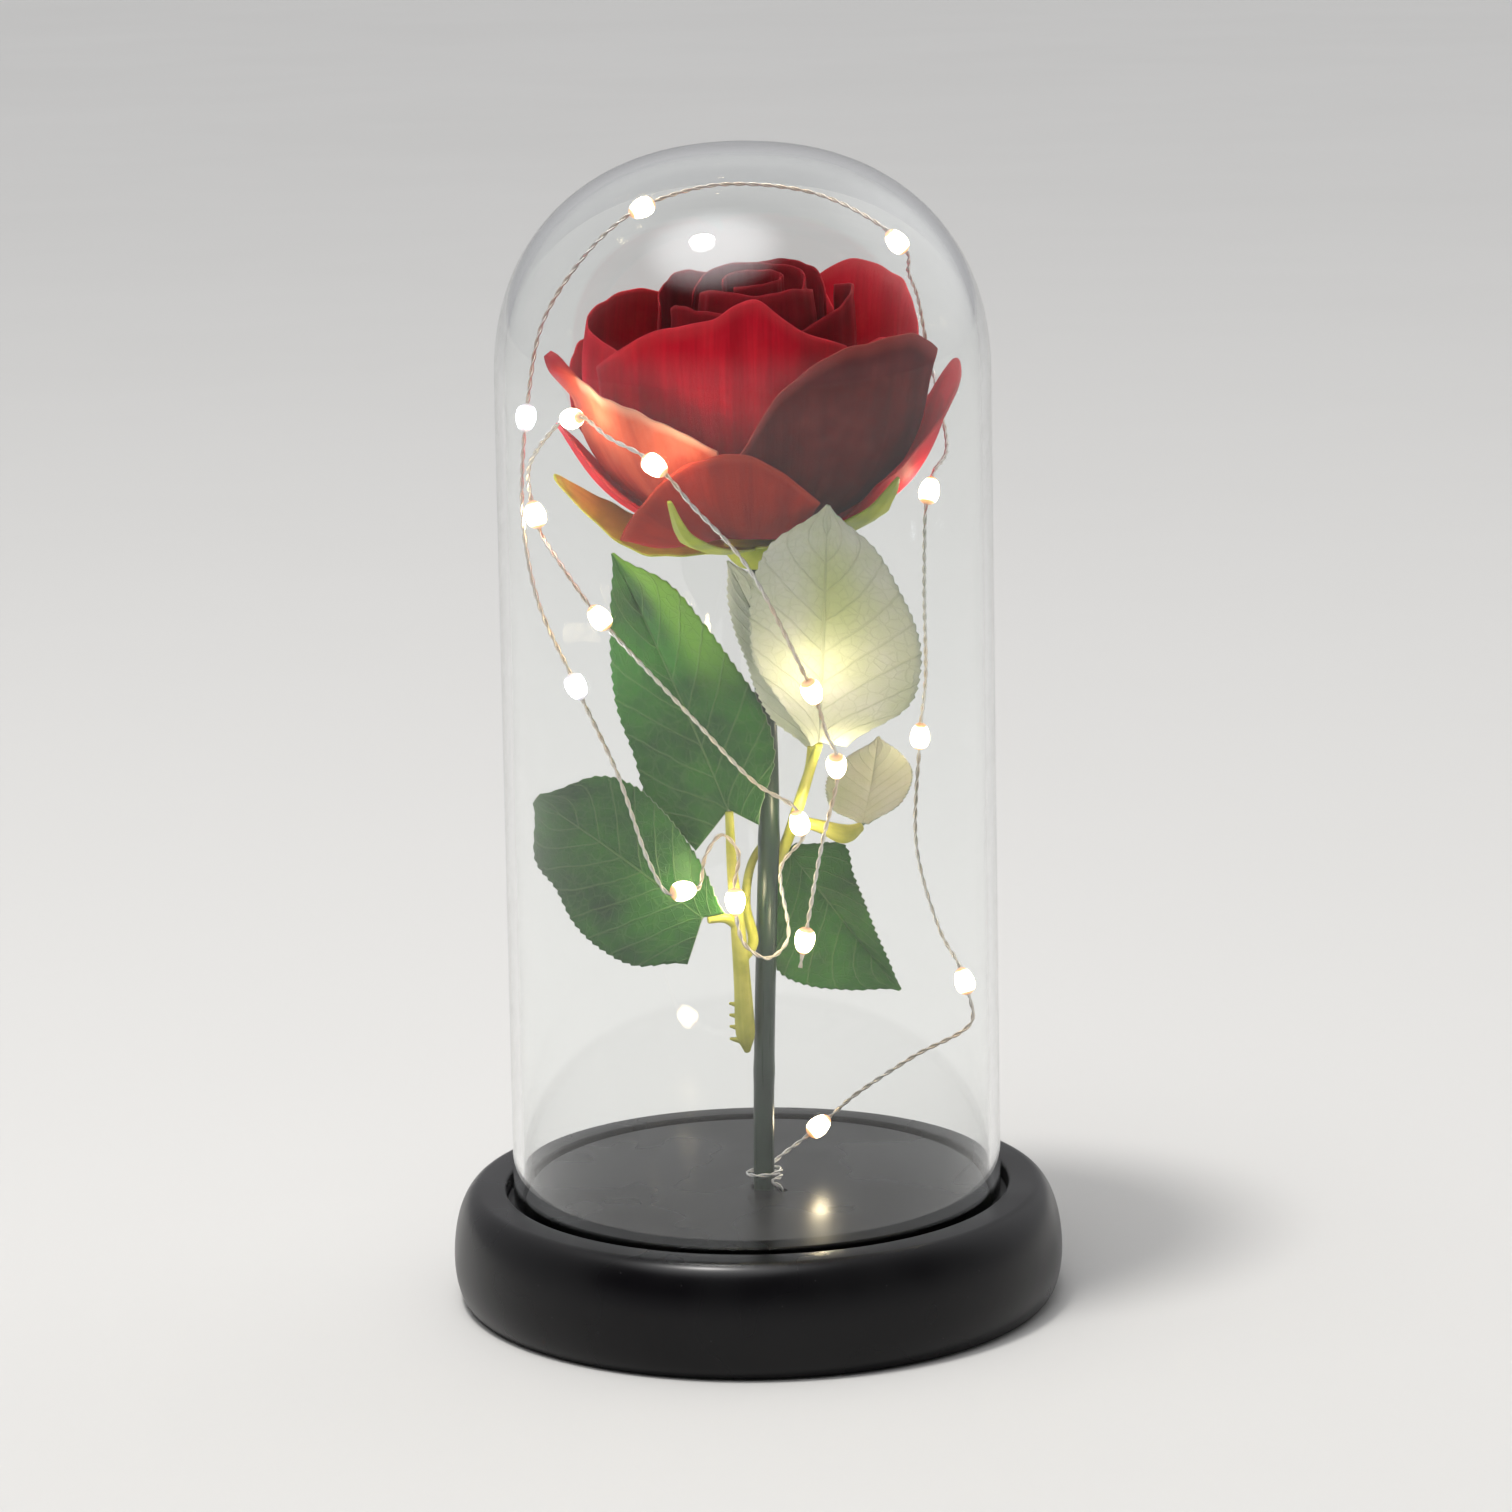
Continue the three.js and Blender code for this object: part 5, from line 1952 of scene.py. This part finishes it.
LEAVES = (
    Leaf("leaf_left_top", (-4.1, -7.2, 95.1), (-24.4, -5, 142.9), (-0.25, -1, 0.1), 5, 2.0,
         (9, 13.4, 12.2, 11.2, 8.3, 4.4, 0.3), (4, 12.2, 14, 12.5, 10.3, 7.2, 0.3),
         LeafSide.UPPER, 0.8),
    Leaf("leaf_left_side", (-9.3, -9.7, 75.2), (-39.3, -7, 97.5), (-0.1, -1, 0), 3, 1.8,
         (9, 15, 16.2, 15, 11.6, 9.4, 1.2), (3, 7.4, 10.6, 12.5, 12.9, 10, 1.2),
         LeafSide.UPPER),
    Leaf("leaf_right_low", (6.9, 6.2, 84), (27.4, -1, 58.4), (0.25, -1, 0.1), 0, 1.6,
         (2, 8.8, 6.8, 5.0, 3.2, 1.8, 0.3), (3, 9.4, 13.4, 15.8, 13, 7.2, 0.3),
         LeafSide.UPPER),
    Leaf("leaf_right_front", (12.6, -20.5, 110.3), (14.6, -33.5, 155.8), (-0.05, -1, -0.25), 1, 2.0,
         (1.4, 7, 12, 13.1, 12.8, 9.8, 0.3), (5, 15.2, 17.4, 16.5, 13, 8.3, 0.3),
         LeafSide.UNDER, patch=0.7),
    Leaf("leaf_right_rear", (11.2, -14.4, 108.4), (-3.2, -21.5, 143.9), (-0.4, -1, -0.1), 0, 1.2,
         (1, 5, 5.6, 4.6, 4.2, 3.0, 0.3), (1, 8, 11, 11, 9.6, 6.4, 0.3),
         LeafSide.UNDER),
    Leaf("leaf_right_back", (20.9, -2.6, 90.8), (24.6, 18.6, 102.6), (-0.3, -0.8, 1), 0, 1.2,
         (1, 6, 8, 8.4, 7, 4.4, 0.3), (1, 6, 8, 8.2, 6.8, 4.2, 0.3),
         LeafSide.UNDER),
)


@dataclass
class Foliage:
    """Two sprigs and the six leaves on them."""

    thickness: float = 0.5
    edge_thickness: float = 0.26
    rib: float = 0.45
    columns: int = 34
    rows_per_tooth: int = 4

    left_main: tuple[Point, ...] = (
        (-1.4, -6.8, 48.4, 0.6), (-1.7, -7.2, 52, 1.8), (-2.1, -7.6, 62, 1.6),
        (-2.8, -8.0, 74, 1.35), (-3.6, -7.9, 84, 1.0), (-3.95, -7.4, 94.6, 0.8),
    )
    left_side: tuple[Point, ...] = (
        (-2.6, -8.0, 72.8, 1.0), (-5.0, -8.8, 74.6, 0.9), (-8.3, -9.6, 74.6, 0.75)
    )
    left_rear: tuple[Point, ...] = (
        (-1.9, -7.7, 66.4, 0.9), (0.0, -7.0, 69.4, 1.0), (-1.2, -3.4, 76, 0.9),
        (0.2, 1.4, 83, 0.8), (3.2, 5, 85.8, 0.75), (6.5, 6.15, 84.4, 0.65),
    )
    left_teeth: tuple[float, ...] = (50.8, 53.2, 55.4, 57.6)
    right_main: tuple[Point, ...] = (
        (3.7, -0.1, 76, 0.6), (4.7, 0.2, 82, 1.0), (7.0, -2.2, 88.5, 1.1), (9.3, -8.4, 97, 1.1),
        (11.2, -15.4, 104.6, 0.9), (12.6, -20.2, 109.7, 0.75),
    )
    right_side: tuple[Point, ...] = (
        (8.1, -5.1, 92.4, 0.9), (13.4, -6.2, 91, 1.3), (17.4, -5, 89.4, 1.8),
        (20.6, -3.0, 90.3, 0.85),
    )
    right_rear: tuple[Point, ...] = (
        (10.2, -11.6, 100.6, 0.8), (11.0, -13.4, 105, 0.75), (11.2, -14.3, 108.1, 0.65)
    )

    def stalk(self, stations: Sequence[Point], sides: int = 14, steps: int = 10) -> Surface:
        """A round stalk.

        Args:
            stations: [x, y, z, radius] stations along it.
            sides: how many sides it has.
            steps: rings from each station to the next.

        Returns:
            The closed surface.
        """
        t = np.linspace(0, 1, steps * (len(stations) - 1) + 1)
        radii = profile_curve([(station[3],) for station in stations], t)[:, 0]
        return tube(smooth_path(stations, t), radii, sides)

    def leaf_surface(self, leaf: Leaf) -> Surface:
        """The skin of one leaf, with its toothed edge, veins and midrib.

        Args:
            leaf: the leaf.

        Returns:
            The closed skin.
        """
        start = np.array(leaf.base, float)
        rib = np.array(leaf.tip, float) - start
        length = float(np.linalg.norm(rib))
        rib /= length
        side = np.cross(np.array(leaf.face, float), rib)
        side /= np.linalg.norm(side)
        normal = np.cross(rib, side)
        rows = leaf.teeth * self.rows_per_tooth
        t = np.linspace(0, 1, rows + 1)[:, None]
        u = np.linspace(-1, 1, self.columns + 1)[None, :]
        u = np.sign(u) * abs(u) ** 1.15
        widths = [profile_curve([(w,) for w in row], t[:, 0])[:, 0][:, None]
                  for row in (leaf.minus_widths, leaf.plus_widths)]
        saw = (t * leaf.teeth) % 1.0
        tooth = leaf.tooth * (saw - 0.5) * np.minimum(np.sin(math.pi * t) * 4, 1)
        off = abs(u)
        width = np.where(u < 0, widths[0], widths[1]) + tooth * off**4
        along = t * length - leaf.lobe * off * (1 - t) ** 3
        lean = (t - 0.3 * off) * 8
        crease = np.exp(-(((lean - np.round(lean)) / 0.14) ** 2))
        crease = crease * smoothstep(off, 0.03, 0.15) * (1 - off)
        wave = 0.35 * np.sin(t * 9 + u * 2.5) * off**2
        lift = leaf.cup * (off - 0.6) * np.sin(math.pi * t) + wave
        midrib = np.exp(-((off / 0.05) ** 2))
        lift = lift + (0.22 * crease - 0.45 * midrib) * np.sin(math.pi * t) ** 0.5
        grid = start + along[..., None] * rib + (u * width)[..., None] * side
        grid = grid + lift[..., None] * normal
        thinning = (self.edge_thickness - self.thickness) * off**2
        thickness = (self.thickness + thinning) * np.ones_like(t)
        thickness = thickness + self.rib * midrib * (1 - 0.7 * t)
        return shell(grid, thickness)

    def build(self) -> None:
        """Makes sprigs and leaves."""
        green = Sprout("stalk_green", (0.86, 0.82, 0.20), (0.58, 0.60, 0.08), 14).build()
        teeth = [self.stalk([
            (-2.2, -7.2, z, 0.7), (-3.4, -7.5, z + 0.2, 0.5), (-4.6, -7.8, z + 0.5, 0.25)
        ], 10, 5) for z in self.left_teeth]
        left = [
            self.stalk(self.left_main), self.stalk(self.left_side), self.stalk(self.left_rear),
            *teeth
        ]
        sprig = combined("green_sprig_left", left, Join.UNION, green, 50)
        placed(sprig, "sprout_green", "leaf_sprig_left")
        right = [
            self.stalk(self.right_main), self.stalk(self.right_side), self.stalk(self.right_rear)
        ]
        sprig = combined("green_sprig_right", right, Join.UNION, green, 50)
        placed(sprig, "sprout_green", "leaf_sprig_right")
        for leaf in LEAVES:
            shown_dark = leaf.shown is LeafSide.UPPER
            plus_side = LeafSide.UNDER if shown_dark else LeafSide.UPPER
            skin = LeafSkin(
                "skin_" + leaf.name, plus_side, painted_lit_edge=leaf.painted_lit_edge, patch=leaf.patch
            )
            slot = "leaf_green" if shown_dark else "pale_leaf_green"
            piece = self.leaf_surface(leaf).build("veined_" + leaf.name, skin.build())
            placed(piece, slot, leaf.name)


def main() -> None:
    """Builds the camera, every piece of the object and the studio."""
    logging.basicConfig(level=logging.INFO, format="%(name)s: %(message)s")
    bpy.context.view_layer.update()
    PhotoCamera().build()
    LampString().build()
    TurnedBase().build()
    GlassDome().build()
    RoseStem().build()
    RoseHead().build()
    Foliage().build()
    Studio().build()
    bpy.context.scene.view_settings.view_transform = "Standard"


if __name__ == "__main__":
    main()
